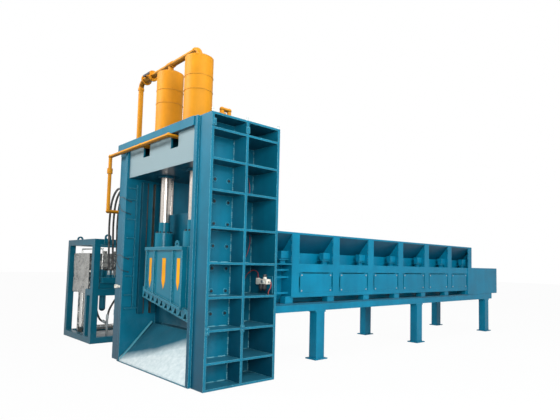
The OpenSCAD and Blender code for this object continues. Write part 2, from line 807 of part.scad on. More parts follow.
// Front pipe: from both windows along the panel, round the left column and back into it
front_r = front_pipe_d / 2;
front_y = -jamb_proud - top_bar_proud - 40;
front_z = bar_low_z - front_r - 4;
drop_x = -column_x - 220;
drop_l = 959;
drop_z = front_z - drop_l;
return_y = 150;
union_r = 46;
union_l = 90;
elbow_r = front_r + 6;
module elbow_ball(x, y, z) {
    translate([x, y, z]) sphere(r = elbow_r);
}
module front_pipe() {
    color(yellow) {
        for (x = [-cylinder_x, cylinder_x]) {
            rod_y(x, front_y, cylinder_y - barrel_d / 2, front_z, front_r, smooth_fn);
            elbow_ball(x, front_y, front_z);
        }
        rod_x(drop_x, cylinder_x, front_y, front_z, front_r, smooth_fn);
        elbow_ball(drop_x, front_y, front_z);
        translate([drop_x, front_y, drop_z]) cylinder(r = front_r, h = front_z - drop_z);
        translate([drop_x, front_y, (front_z + drop_z) / 2 + 2 * union_l])
            cylinder(r = union_r, h = union_l);
        elbow_ball(drop_x, front_y, drop_z);
        rod_y(drop_x, front_y, return_y, drop_z, front_r, smooth_fn);
        elbow_ball(drop_x, return_y, drop_z);
        rod_x(drop_x, -jamb_out_x, return_y, drop_z, front_r, smooth_fn);
        rod_x(-jamb_out_x - collar_l / 2, -jamb_out_x, return_y, drop_z, union_r, smooth_fn);
    }
}

// Short pipe elbows on the hold-down cylinders
rear_r = 32;
rear_run = 130;
module rear_pipe() {
    color(yellow) for (side = [-1, 1]) translate([side * hold_x, hold_y, hold_barrel_top]) {
        cylinder(r = rear_r, h = 2 * rear_r);
        translate([0, 0, 2 * rear_r]) sphere(r = rear_r * 1.15);
        translate([0, 0, 2 * rear_r]) rotate([-90, 0, 0]) cylinder(r = rear_r, h = rear_run);
        translate([0, rear_run, 2 * rear_r]) sphere(r = rear_r * 1.15);
        translate([0, rear_run, gantry_h - hold_barrel_top])
            cylinder(r = rear_r, h = hold_barrel_top + 2 * rear_r - gantry_h);
    }
}

// Manifold block on the left column, where the riser meets the hoses
manifold_w = 190;
manifold_l = 280;
manifold_h = 180;
hose_r = hose_d / 2;
hose_count = 3;
hose_pitch = 80;
fitting_l = 50;
manifold_x = -column_x - manifold_w;
hose_z = crosshead_z - manifold_h / 2;
module pipe_manifold() {
    color(deep_blue) {
        block([manifold_x, cylinder_y - manifold_l / 2, crosshead_z - manifold_h],
              [-column_x, cylinder_y + manifold_l / 2, crosshead_z]);
        for (i = [0:hose_count - 1])
            rod_x(manifold_x - fitting_l, manifold_x, cylinder_y + (i - 1) * hose_pitch, hose_z,
                  hose_r + collar_wall, smooth_fn);
    }
}

// Side frame of the trough: flared wall, posts with webs, shelf, rails and brackets
channel_out_x = channel_x + wall_t;
last_post_y = post_y + (post_count - 1) * post_pitch;
walls_end_y = last_post_y + post_w;
post_lead = 50;
box_y = last_post_y - post_lead;
box_top_z = floor_z + end_box_h;
frame_plate_t = 20;
plate_x = trough_x - frame_plate_t;
lower_rail_gap = 96;
lower_rail_h = 79;
mid_rail_gap = 514;
mid_rail_h = 143;
lower_rail_z = floor_z + lower_rail_gap;
cover_low_z = lower_rail_z + lower_rail_h;
mid_rail_z = floor_z + mid_rail_gap;
shelf_z = mid_rail_z + mid_rail_h;
bracket_lead = 114;
inset = 20;
cover_t = 16;
cover_gap = 35;
cover_head_gap = 17;
tab_t = 25;
tab_w = 60;
bay_bar_w = 30;
// Heights of the open first bay's bars above the trough's floor
bay_bar_rises = [155, 415, 535];
function post_at(i) = post_y + i * post_pitch;
function bay_end(i) = min(post_at(i + 1), box_y - inset);
module wall_profile(low) {
    polygon([
        [channel_x, low], [channel_out_x, low], [channel_out_x, flare_z], [trough_x, rim_z - wall_t],
        [trough_x, rim_z], [trough_x - wall_t, rim_z], [channel_x, flare_z + wall_t]
    ]);
}
module post_web(low) {
    polygon([[channel_out_x, low], [trough_x, low], [trough_x, rim_z - wall_t], [channel_out_x, flare_z]]);
}
module cover_corners(i) {
    y0 = post_at(i) + post_w + cover_gap;
    y1 = bay_end(i) - cover_gap;
    for (y = [y0 + tab_w / 2, y1 - tab_w / 2],
         z = [cover_low_z + tab_w / 2, mid_rail_z - cover_head_gap - tab_w / 2])
        translate([0, y, z]) children();
}
screw_d = 12;
screw_head_d = 26;
screw_head_h = 8;
module trough_side() {
    difference() {
        union() {
            along_y(gantry_d, box_y) wall_profile(floor_z);
            along_y(box_y - cut, walls_end_y) wall_profile(box_top_z);
            block([channel_x, gantry_d, shelf_z - frame_plate_t], [trough_x, box_y, shelf_z]);
            block([plate_x, post_y, mid_rail_z], [trough_x, box_y, shelf_z]);
            block([plate_x, post_y, lower_rail_z],
                  [trough_x, box_y, cover_low_z]);
            block([channel_x, post_y, lower_rail_z], [trough_x, box_y, lower_rail_z + frame_plate_t]);
            for (i = [0:post_count - 1]) {
                last = i == post_count - 1;
                low = last ? box_top_z : lower_rail_z;
                web_y = last ? post_at(i) + post_w - frame_plate_t : post_at(i);
                block([plate_x, post_at(i), low], [trough_x, post_at(i) + post_w, rim_z]);
                along_y(web_y, web_y + frame_plate_t) post_web(low);
                block([trough_x - leg_w + frame_plate_t, post_at(i) - bracket_lead, floor_z],
                      [plate_x, min(post_at(i) - bracket_lead + post_w, box_y),
                       lower_rail_z + frame_plate_t]);
            }
            for (rise = bay_bar_rises)
                block([trough_x - leg_w / 2 - bay_bar_w, gantry_d, floor_z + rise],
                      [trough_x - leg_w / 2, post_y + cut, floor_z + rise + bay_bar_w]);
            for (i = [0:post_count - 2]) {
                y0 = post_at(i) + post_w;
                y1 = bay_end(i);
                for (z = [cover_low_z - inset, mid_rail_z - cover_head_gap - tab_w],
                     y = [[y0 - inset, y0 + cover_gap + tab_w], [y1 - cover_gap - tab_w, y1 + inset]])
                    block([plate_x - tab_t, y[0], z],
                          [plate_x, y[1], z + tab_w + inset + cover_head_gap]);
            }
            block([plate_x, box_y - inset, lower_rail_z], [trough_x, box_y, shelf_z]);
        }
        for (i = [0:post_count - 2]) cover_corners(i)
            rod_x(plate_x - tab_t - cut, trough_x, 0, 0, screw_d / 2 + slip_gap);
    }
}
module trough_side_right() {
    color(blue) trough_side();
}
module trough_side_left() {
    color(blue) mirror([1, 0, 0]) trough_side();
}

// Floor plate of the trough
floor_t = 30;
module trough_floor() {
    color(deep_blue) block([-(trough_x - slip_gap), gantry_d, floor_z - floor_t], [trough_x - slip_gap, box_y, floor_z]);
}

// Cover panels between the posts, and their corner screws
module trough_covers() {
    color(blue) both_sides() difference() {
        for (i = [0:post_count - 2])
            block([plate_x, post_at(i) + post_w + cover_gap, cover_low_z],
                  [plate_x + cover_t, bay_end(i) - cover_gap, mid_rail_z - cover_head_gap]);
        for (i = [0:post_count - 2]) cover_corners(i)
            rod_x(plate_x - cut, trough_x, 0, 0, screw_d / 2 + slip_gap);
    }
}
module cover_screws() {
    color(steel) both_sides() for (i = [0:post_count - 2]) cover_corners(i) {
        rod_x(plate_x - tab_t, trough_x, 0, 0, screw_d / 2);
        rod_x(plate_x + cover_t, plate_x + cover_t + screw_head_h, 0, 0,
              screw_head_d / 2);
    }
}

// Anchor blocks on the shelf, one before each post
anchor_block_l = 170;
anchor_block_w = 100;
anchor_block_h = 120;
anchor_plate_l = 220;
anchor_plate_w = 120;
anchor_plate_t = 12;
anchor_stem_h = 58;
anchor_stem_w = 60;
anchor_gap = 5;
module anchor_blocks() {
    x = (channel_out_x + trough_x) / 2;
    color(blue) both_sides() for (i = [0:post_count - 1]) translate([x, post_at(i) - anchor_gap, shelf_z]) {
        block([-anchor_stem_w / 2, -anchor_plate_l + anchor_stem_w, 0],
              [anchor_stem_w / 2, -post_lead - anchor_gap, anchor_stem_h]);
        block([-anchor_plate_w / 2, -anchor_plate_l, anchor_stem_h],
              [anchor_plate_w / 2, 0, anchor_stem_h + anchor_plate_t]);
        block([-anchor_stem_w / 2, -anchor_block_l, anchor_stem_h],
              [anchor_stem_w / 2, -anchor_gap, anchor_stem_h + 3 * anchor_plate_t]);
        block([-anchor_block_w / 2, -anchor_block_l, anchor_stem_h + 2.5 * anchor_plate_t],
              [anchor_block_w / 2, 0, anchor_stem_h + 2.5 * anchor_plate_t + anchor_block_h]);
    }
}

// Base beams under the trough, joined by cross members under the floor plate
beam_low_z = floor_z - beam_h;
beam_end_trim = 283;
beam_end_y = box_y + end_box_l - beam_end_trim;
cross_w = 120;
module base_beams() {
    color(blue) {
        both_sides() {
            square_tube([trough_x - leg_w, gantry_d, beam_low_z], [trough_x, beam_end_y, floor_z - floor_t]);
            block([trough_x - leg_w, box_y, floor_z - floor_t - tube_wall], [trough_x, beam_end_y, floor_z]);
        }
        for (i = [0:post_count])
            square_tube([-trough_x + leg_w - tube_wall, post_at(i), beam_low_z],
                        [trough_x - leg_w + tube_wall, post_at(i) + cross_w, floor_z - floor_t]);
    }
}

// Six legs on base plates with four anchor holes each
leg_start_y = 2658;
leg_end_gap = 195;
leg_span = beam_end_y - leg_end_gap - leg_l - leg_start_y;
leg_shares = [0, 0.492, 1];
leg_pad_l = 250;
leg_pad_t = 30;
foot_plate_l = 300;
foot_plate_w = 250;
foot_plate_t = 20;
foot_hole_x = 200;
foot_hole_y = 250;
foot_hole_d = 22;
module trough_legs() {
    color(blue) both_sides() for (share = leg_shares)
        translate([trough_x - leg_w / 2, leg_start_y + share * leg_span + leg_l / 2, 0]) {
            square_tube([-leg_w / 2, -leg_l / 2, foot_plate_t - tube_wall], [leg_w / 2, leg_l / 2, beam_low_z - leg_pad_t + tube_wall]);
            block([-leg_w / 2, -leg_pad_l / 2, beam_low_z - leg_pad_t], [leg_w / 2, leg_pad_l / 2, beam_low_z]);
            difference() {
                block([-foot_plate_w / 2, -foot_plate_l / 2, 0], [foot_plate_w / 2, foot_plate_l / 2, foot_plate_t]);
                for (x = [-foot_hole_x / 2, foot_hole_x / 2], y = [-foot_hole_y / 2, foot_hole_y / 2])
                    translate([x, y, -cut]) cylinder(d = foot_hole_d, h = foot_plate_t + 2 * cut, $fn = bolt_fn);
            }
        }
}

// End box around the feed cylinder, with its lid
box_wall = 20;
box_x = trough_x + 13;
feed_z = floor_z + end_box_h / 2;
box_end_y = box_y + end_box_l;
module end_box() {
    color(blue) difference() {
        block([-box_x, box_y, floor_z], [box_x, box_end_y, box_top_z]);
        block([-box_x + box_wall, box_y + box_wall, floor_z + box_wall],
              [box_x - box_wall, box_end_y - box_wall, box_top_z - box_wall]);
        rod_y(0, box_y - cut, box_y + box_wall + cut, feed_z, feed_r + slip_gap, smooth_fn);
    }
}
lid_t = 30;
lid_lead = 17;
lid_l = 540;
module end_box_lid() {
    color(blue) block([-channel_x, walls_end_y + lid_lead, box_top_z],
                      [channel_x, walls_end_y + lid_lead + lid_l, box_top_z + lid_t]);
}

// Telescopic feed cylinder: outer tube, three stages and the rod that carries the push head
feed_lead = 30;
feed_cap = 40;
feed_stage_l = 1560;
barrel_y = box_y - feed_lead;
module feed_barrel() {
    color(deep_blue) difference() {
        rod_y(0, barrel_y, box_end_y - box_wall, feed_z, feed_r, smooth_fn);
        rod_y(0, barrel_y - cut, box_end_y - box_wall - feed_cap, feed_z, feed_r - feed_wall, smooth_fn);
    }
}
module feed_stage(k) {
    y = barrel_y - k * feed_lead;
    color(steel) difference() {
        rod_y(0, y, y + feed_stage_l, feed_z, feed_r - k * feed_wall - fit_gap, smooth_fn);
        rod_y(0, y - cut, y + feed_stage_l + cut, feed_z, feed_r - (k + 1) * feed_wall, smooth_fn);
    }
}
module feed_stage_1() {
    feed_stage(1);
}
module feed_stage_2() {
    feed_stage(2);
}
module feed_stage_3() {
    feed_stage(3);
}
feed_rod_y = barrel_y - 4 * feed_lead;
module feed_rod() {
    color(steel) rod_y(0, feed_rod_y, feed_rod_y + feed_stage_l, feed_z, feed_r - 4 * feed_wall - fit_gap, smooth_fn);
}
head_gap = 5;
head_wall = 40;
module push_head() {
    x = channel_x - head_gap;
    y = feed_rod_y - head_l;
    z = floor_z + head_gap;
    color(deep_blue) difference() {
        block([-x, y, z], [x, feed_rod_y, z + head_h]);
        for (side = [-1, 1])
            block([min(side * head_wall / 2, side * (x - head_wall)), y + head_wall, z + head_wall],
                  [max(side * head_wall / 2, side * (x - head_wall)), feed_rod_y - head_wall, z + head_h + cut]);
    }
}

// Frame of the power unit: square tubes, lifting eyes, a stub, and a shelf for the valves
unit_x0 = -unit_x - unit_w;
unit_x1 = -unit_x;
unit_y1 = unit_y + unit_d;
shelf_t = 12;
valve_shelf_l = 410;
valve_shelf_w = 390;
stub_l = 260;
stub_post = 80;
eye_w = 130;
eye_t = 24;
eye_hole_d = 60;
eye_low = 90;
eye_rise = 100;
eye_inset = 250;
eye_z = unit_h + eye_rise - eye_w / 2;
module lifting_eye(x, y) {
    difference() {
        union() {
            block([x, y - eye_w / 2, unit_h - eye_low], [x + eye_t, y + eye_w / 2, eye_z]);
            rod_x(x, x + eye_t, y, eye_z, eye_w / 2, smooth_fn);
        }
        rod_x(x - cut, x + eye_t + cut, y, eye_z, eye_hole_d / 2, smooth_fn);
    }
}
module unit_frame() {
    s = tube_s;
    t = tube_wall;
    color(blue) {
        for (x = [unit_x0, unit_x1 - s]) {
            for (y = [unit_y, unit_y1 - s]) square_tube([x, y, 0], [x + s, y + s, unit_h]);
            for (z = [0, rail_z - s, unit_h - s])
                square_tube([x, unit_y + s - t, z], [x + s, unit_y1 - s + t, z + s]);
        }
        for (y = [unit_y, unit_y1 - s], z = [0, unit_h - s])
            square_tube([unit_x0 + s - t, y, z], [unit_x1 - s + t, y + s, z + s]);
        square_tube([unit_x1 - s - stub_l, unit_y, rail_z - s], [unit_x1 - s + t, unit_y + s, rail_z]);
        square_tube([unit_x1 - s - stub_l, unit_y, s - t],
                    [unit_x1 - s - stub_l + stub_post, unit_y + stub_post, rail_z - s + t]);
        block([unit_x1 - valve_shelf_w, unit_y + s - t, rail_z], [unit_x1, unit_y + s + valve_shelf_l, rail_z + shelf_t]);
        for (y = [unit_y + eye_inset, unit_y1 - eye_inset]) {
            lifting_eye(unit_x1, y);
            lifting_eye(unit_x0 - eye_t, y);
        }
    }
}

// Deck plate with the hose tee that stands on it
deck_low = 30;
deck_t = 20;
deck_z = deck_low + deck_t;
tee_x = unit_x1 - 180;
tee_lead = 390;
tee_y = unit_y + tee_lead;
tee_r = 22;
tee_top_z = 450;
tee_port_z = 360;
tee_port_l = 40;
module unit_tray() {
    color(silver) {
        block([unit_x0 + tube_s, unit_y + tube_s, deck_low], [unit_x1 - tube_s, unit_y1 - tube_s, deck_z]);
        translate([tee_x, tee_y, deck_z - cut]) cylinder(r = tee_r, h = tee_top_z - deck_z + cut);
        translate([tee_x, tee_y, deck_z - cut]) cylinder(r = 2 * tee_r, h = 2 * cut + tee_r);
        rod_x(tee_x - tee_r - tee_port_l, tee_x, tee_y, tee_port_z, tee_r, smooth_fn);
    }
}

// Oil tank on four legs, with a breather and a filler cap
tank_side_gap = 260;
tank_w = 880;
tank_l = 950;
tank_low_z = 960;
tank_h = 800;
tank_lead = 60;
tank_wall = 12;
tank_leg = 80;
tank_leg_inset = 160;
tee_hose_lead = 210;
breather_r = 45;
breather_h = 70;
tank_x0 = unit_x0 + tank_side_gap;
tank_x1 = tank_x0 + tank_w;
tank_y0 = unit_y + tank_lead;
tank_y1 = tank_y0 + tank_l;
tank_top_z = tank_low_z + tank_h;
oil_port_x = tank_x1;
oil_port_y = tank_y1 - 300;
oil_port_z = tank_low_z + 60;
module oil_tank() {
    wall = [tank_wall, tank_wall, tank_wall];
    color(silver) {
        difference() {
            block([tank_x0, tank_y0, tank_low_z], [tank_x1, tank_y1, tank_top_z]);
            block([tank_x0, tank_y0, tank_low_z] + wall, [tank_x1, tank_y1, tank_top_z] - wall);
        }
        for (x = [tank_x0 + tank_leg_inset, tank_x1 - tank_leg], y = [unit_y + tube_s + slip_gap, tank_y1 - tank_leg])
            block([x, y, deck_z], [x + tank_leg, y + tank_leg, tank_low_z + cut]);
        for (y = [tank_y0 + tank_l / 2, tank_y1 - tank_l / 4])
            translate([tank_x0 + tank_w / 2, y, tank_top_z - cut])
                cylinder(r = breather_r, h = breather_h + cut);
        rod_x(oil_port_x - cut, oil_port_x + fitting_l, oil_port_y, oil_port_z, hose_r + collar_wall, smooth_fn);
    }
}

// Valve block on the shelf: body, port bar, solenoids, cartridge caps and a hanging filter bowl
bank_x0 = unit_x1 - valve_shelf_w + 60;
bank_x1 = unit_x1 - 20;
bank_y0 = unit_y + tube_s + 20;
bank_l = 370;
bank_y1 = bank_y0 + bank_l;
bank_z0 = rail_z + shelf_t;
bank_h = 230;
port_bar_w = 120;
port_bar_h = 110;
solenoid_s = 80;
solenoid_h = 130;
cartridge_r = 35;
cartridge_h = 150;
bowl_r = 62;
bowl_h = 380;
hose_end_x = bank_x1 + port_bar_w * 0.6;
hose_end_y = bank_y0 + 0.6 * bank_l;
hose_end_z = bank_z0 + bank_h;
pump_port_x = bank_x0 + 170;
pump_port_z = bank_z0 + bank_h / 2;
low_port_x = bank_x0 + 110;
bowl_y = bank_y0 + 150;
module valve_block() {
    color(blue) {
        block([bank_x0, bank_y0, bank_z0], [bank_x1, bank_y1, bank_z0 + bank_h]);
        block([bank_x1 - cut, bank_y0, hose_end_z - port_bar_h], [bank_x1 + port_bar_w, bank_y1, hose_end_z]);
        for (i = [0:hose_count - 1])
            translate([hose_end_x, hose_end_y + (i - 1) * hose_pitch, hose_end_z - cut])
                cylinder(r = hose_r + collar_wall, h = fitting_l + cut);
        for (i = [0:2])
            block([bank_x0 + inset, bank_y0 + inset + i * (solenoid_s + inset), hose_end_z - cut],
                  [bank_x0 + inset + 2 * solenoid_s, bank_y0 + inset + solenoid_s + i * (solenoid_s + inset),
                   hose_end_z + solenoid_h]);
        for (i = [0:1])
            translate([bank_x1 - inset - cartridge_r, bank_y0 + inset + cartridge_r + i * 3 * cartridge_r, hose_end_z - cut])
                cylinder(r = cartridge_r, h = cartridge_h - i * cartridge_r + cut);
        rod_y(pump_port_x, bank_y1 - cut, bank_y1 + fitting_l, pump_port_z, hose_r + collar_wall, smooth_fn);
        translate([low_port_x, bowl_y, rail_z - bowl_h]) {
            cylinder(r = bowl_r, h = bowl_h);
            sphere(r = bowl_r, $fn = 48);
        }
    }
}

// Tank pipes: clamped suction pipe down to the pump, and the thin return pipe over the tank
suction_x = tank_x0 + 370;
suction_y = tank_y0 + 80;
suction_r = 50;
suction_bend_r = 90;
ring_r = 80;
ring_t = 20;
ring_rises = [101, 345];
pump_rise = 150;
pump_z = deck_z + pump_rise;
motor_lead = 1260;
motor_y = unit_y + motor_lead;
pump_face = 200;
pump_port_y = motor_y - pump_face;
back_pipe_r = 14;
back_pipe_rise = 100;
back_pipe_y = bank_y0 + inset + cartridge_r;
back_pipe_x0 = tank_x0 + 60;
back_pipe_x1 = bank_x1 - inset - cartridge_r;
back_pipe_end_z = hose_end_z + cartridge_h;
module tank_pipes() {
    color(silver) {
        translate([suction_x, suction_y, pump_z + suction_bend_r])
            cylinder(r = suction_r, h = tank_low_z - pump_z - suction_bend_r);
        for (rise = ring_rises)
            translate([suction_x, suction_y, pump_z + rise]) cylinder(r = ring_r, h = ring_t);
        translate([suction_x, suction_y, pump_z + suction_bend_r]) rotate([0, 0, -90])
            mirror([0, 0, 1]) pipe_bend(suction_r, suction_bend_r);
        rod_y(suction_x, suction_y + suction_bend_r, pump_port_y, pump_z, suction_r, smooth_fn);
        for (x = [back_pipe_x0, back_pipe_x1]) {
            low = x == back_pipe_x0 ? tank_top_z : back_pipe_end_z;
            translate([x, back_pipe_y, low]) cylinder(r = back_pipe_r, h = tank_top_z + back_pipe_rise - low, $fn = bolt_fn);
            translate([x, back_pipe_y, tank_top_z + back_pipe_rise]) sphere(r = back_pipe_r, $fn = bolt_fn);
        }
        rod_x(back_pipe_x0, back_pipe_x1, back_pipe_y, tank_top_z + back_pipe_rise, back_pipe_r);
    }
}

// Smooth path through given points, and a round tube swept along it
function unit_vec(v) = v / norm(v);
function path_part(a, b, c, d, t) =
    0.5 * (2 * b + (c - a) * t + (2 * a - 5 * b + 4 * c - d) * t * t + (3 * b - a - 3 * c + d) * t * t * t);
function smooth_path(p, steps) = concat(
    [for (i = [0:len(p) - 2], k = [0:steps - 1])
        path_part(p[max(i - 1, 0)], p[i], p[i + 1], p[min(i + 2, len(p) - 1)], k / steps)],
    [p[len(p) - 1]]);
function path_dir(p, i, first, last) =
    i == 0 ? first : i == len(p) - 1 ? last : unit_vec(p[i + 1] - p[i - 1]);
function ring_points(c, dir, side, r, n) =
    let (a = unit_vec(cross(side, dir)), b = cross(dir, a))
    [for (k = [0:n - 1]) c + r * (cos(k * 360 / n) * a + sin(k * 360 / n) * b)];
module swept_tube(p, r, first, last, side, n) {
    m = len(p);
    polyhedron(
        points = [for (i = [0:m - 1]) each ring_points(p[i], path_dir(p, i, first, last), side, r, n)],
        faces = concat(
            [[for (k = [0:n - 1]) k]],
            [[for (k = [0:n - 1]) m * n - 1 - k]],
            [for (i = [0:m - 2], k = [0:n - 1]) each [
                [i * n + k, (i + 1) * n + k, (i + 1) * n + (k + 1) % n],
                [i * n + k, (i + 1) * n + (k + 1) % n, i * n + (k + 1) % n]
            ]]));
}

// Hydraulic hoses from the manifold on the left column down to the port bar of the valve block
hose_steps = 3;
hose_sides = 10;
hose_route = [[-1820, 0, 2910], [-2160, 0, 2960], [-2500, 40, 2770], [-2750, 110, 2400], [-2850, 160, 1980], [-2868, 180, 1620]];
module unit_hoses() {
    color(dark) for (i = [0:hose_count - 1]) {
        start = [manifold_x - fitting_l, cylinder_y + (i - 1) * hose_pitch, hose_z];
        end = [hose_end_x, hose_end_y + (i - 1) * hose_pitch, hose_end_z + fitting_l];
        p = concat([start], [for (q = hose_route) q + [0, start.y, 0]], [end]);
        swept_tube(smooth_path(p, hose_steps), hose_r, [-1, 0, 0], [0, 0, -1], [0, 1, 0], hose_sides);
    }
}

// Hoses inside the power unit: tank to tee, tee to tank, and pump to valve block
tee_hose_route = [[-3450, 460, 800], [-3390, 470, 600], [-3280, 500, 430]];
oil_hose_route = [[-3100, 595, 620], [-3110, 690, 790], [-3140, 800, 900], [-3180, 890, 990]];
pump_hose_route = [[-3820, 1450, 520], [-3740, 1430, 760], [-3520, 1360, 960], [-3280, 1230, 1110], [-3130, 1000, 1170]];
pump_outlet_l = 60;
pump_r = 100;
module pump_hoses() {
    tee_start = [tank_x1 - tank_leg - 70, tank_y0 + tee_hose_lead, tank_low_z];
    tee_end = [tee_x - tee_r - tee_port_l, tee_y, tee_port_z];
    oil_start = [tee_x, tee_y, tee_top_z];
    oil_end = [oil_port_x + fitting_l, oil_port_y, oil_port_z];
    pump_start = [suction_x, motor_y, pump_z + pump_r + pump_outlet_l];
    pump_end = [pump_port_x, bank_y1 + fitting_l, pump_port_z];
    color(dark) {
        swept_tube(smooth_path(concat([tee_start], tee_hose_route, [tee_end]), hose_steps), hose_r,
                   [0, 0, -1], [1, 0, 0], [0, 1, 0], hose_sides);
        swept_tube(smooth_path(concat([oil_start], oil_hose_route, [oil_end]), hose_steps), hose_r,
                   [0, 0, 1], [-1, 0, 0], [1, 0, 1], hose_sides);
        swept_tube(smooth_path(concat([pump_start], pump_hose_route, [pump_end]), hose_steps), hose_r,
                   [0, 0, 1], [0, -1, 0], [1, 1, 0], hose_sides);
    }
}

// Pump on its bell housing and foot
pump_half = 120;
bell_l = 140;
bell_r = 130;
bell_bore_r = 75;
pump_foot_w = 160;
suction_port_r = 62;
pump_x1 = suction_x + pump_half;
motor_x0 = pump_x1 + bell_l;
module oil_pump() {
    color(deep_blue) difference() {
        union() {
            rod_x(suction_x - pump_half, pump_x1 + cut, motor_y, pump_z, pump_r, smooth_fn);
            rod_x(pump_x1, motor_x0, motor_y, pump_z, bell_r, smooth_fn);
            rod_y(suction_x, pump_port_y, motor_y, pump_z, suction_port_r, smooth_fn);
            translate([suction_x, motor_y, pump_z])
                cylinder(r = hose_r + collar_wall, h = pump_r + pump_outlet_l);
            block([pump_x1 - cut, motor_y - pump_foot_w / 2, deck_z],
                  [motor_x0 - collar_l, motor_y + pump_foot_w / 2, pump_z - bell_bore_r - collar_wall]);
        }
        rod_x(pump_x1 + collar_wall, motor_x0 + cut, motor_y, pump_z, bell_bore_r, smooth_fn);
    }
}

// Electric motor with foot, terminal box and fan cover
motor_r = 145;
motor_l = 500;
rotor_r = 90;
shaft_r = 24;
fan_r = 120;
fan_t = 25;
end_shield = 70;
fan_space = 60;
cover_wall = 8;
rotor_gap = 1;
terminal_l = 150;
terminal_h = 70;
motor_x1 = motor_x0 + motor_l;
module pump_motor() {
    color(deep_blue) difference() {
        union() {
            rod_x(motor_x0, motor_x1, motor_y, pump_z, motor_r, smooth_fn);
            block([motor_x0 + end_shield, motor_y - motor_r, deck_z],
                  [motor_x1 - fan_space - end_shield, motor_y + motor_r, pump_z - rotor_r - end_shield / 4]);
            block([motor_x0 + end_shield, motor_y - terminal_h, pump_z + motor_r - 4 * cover_wall],
                  [motor_x0 + end_shield + terminal_l, motor_y + terminal_h, pump_z + motor_r + terminal_h]);
        }
        rod_x(motor_x0 - cut, motor_x1 - fan_space + cut, motor_y, pump_z, shaft_r + fit_gap, smooth_fn);
        rod_x(motor_x0 + end_shield, motor_x1 - fan_space - end_shield, motor_y, pump_z, rotor_r + rotor_gap, smooth_fn);
        rod_x(motor_x1 - fan_space, motor_x1 - cover_wall, motor_y, pump_z, motor_r - cover_wall, smooth_fn);
        rod_x(motor_x1 - 2 * cover_wall, motor_x1 + cut, motor_y, pump_z, fan_r / 2, smooth_fn);
    }
}

// Shaft with rotor, coupling half and fan
coupling_r = 60;
coupling_l = 80;
coupling_gap = 30;
module motor_shaft() {
    x0 = pump_x1 + coupling_gap;
    fan_x1 = motor_x1 - cover_wall - fan_t / 2;
    color(steel) {
        rod_x(x0, fan_x1, motor_y, pump_z, shaft_r, smooth_fn);
        rod_x(x0, x0 + coupling_l, motor_y, pump_z, coupling_r, smooth_fn);
        rod_x(motor_x0 + end_shield + rotor_gap, motor_x1 - fan_space - end_shield - rotor_gap, motor_y, pump_z,
              rotor_r, smooth_fn);
        rod_x(fan_x1 - fan_t, fan_x1, motor_y, pump_z, fan_r, smooth_fn);
    }
}

// Air service unit inside the right column: back plate, body, two bowls and an outlet
air_x0 = 1050;
air_w = 320;
air_lead = 12;
rib_4_z = rib_level_shares[2] * gantry_h;
air_z0 = rib_4_z + air_lead;
air_h = 250;
air_plate_t = 12;
air_depth = 78;
air_body_w = 225;
air_body_h = 70;
air_body_inset = 55;
air_body_x = air_x0 + air_body_inset;
air_bowl_r = 32;
air_bowl_h = 70;
solenoid_w = 42;
spindle_r = 8;
spindle_l = 26;
dome_r = 28;
dome_t = 30;
air_y1 = gantry_d - flange_t;
air_y = air_y1 - air_plate_t - air_depth / 2;
air_top = air_z0 + air_h;
air_body_z = air_top - 2 * air_body_w / 4;
air_bowl_pitch = 85;
air_bowl_x = air_body_x + air_body_w / 4;
regulator_x = air_bowl_x + air_bowl_pitch;
outlet_l = 35;
module air_unit() {
    color(cream) difference() {
        union() {
            block([air_x0, air_y1 - air_plate_t, air_z0], [air_x0 + air_w, air_y1, air_top]);
            block([air_body_x, air_y1 - air_plate_t - air_depth, air_body_z],
                  [air_body_x + air_body_w, air_y1, air_body_z + air_body_h]);
            block([air_x0 + air_plate_t, air_y1 - air_plate_t - air_depth * 0.75, air_body_z - air_plate_t],
                  [air_body_x + cut, air_y1, air_body_z + air_body_h + air_plate_t]);
            for (x = [air_bowl_x, regulator_x]) translate([x, air_y, air_body_z - air_bowl_h]) {
                cylinder(r = air_bowl_r, h = air_bowl_h + cut);
                sphere(r = air_bowl_r, $fn = 48);
            }
            translate([regulator_x, air_y, air_body_z + air_body_h - cut]) cylinder(r = dome_r, h = dome_t + cut);
            rod_x(air_body_x, air_body_x + air_body_w + outlet_l, air_y,
                  air_body_z + air_body_h / 2, air_bowl_r / 2, smooth_fn);
        }
        translate([regulator_x, air_y, air_body_z + air_body_h + dome_t - spindle_l])
            cylinder(r = spindle_r + fit_gap, h = spindle_l + cut);
    }
}
knob_r = 26;
knob_h = 38;
module regulator_knob() {
    translate([regulator_x, air_y, air_body_z + air_body_h + dome_t]) color(dark) {
        translate([0, 0, slip_gap]) cylinder(r = knob_r, h = knob_h);
        translate([0, 0, slip_gap - spindle_l]) cylinder(r = spindle_r, h = spindle_l);
    }
}

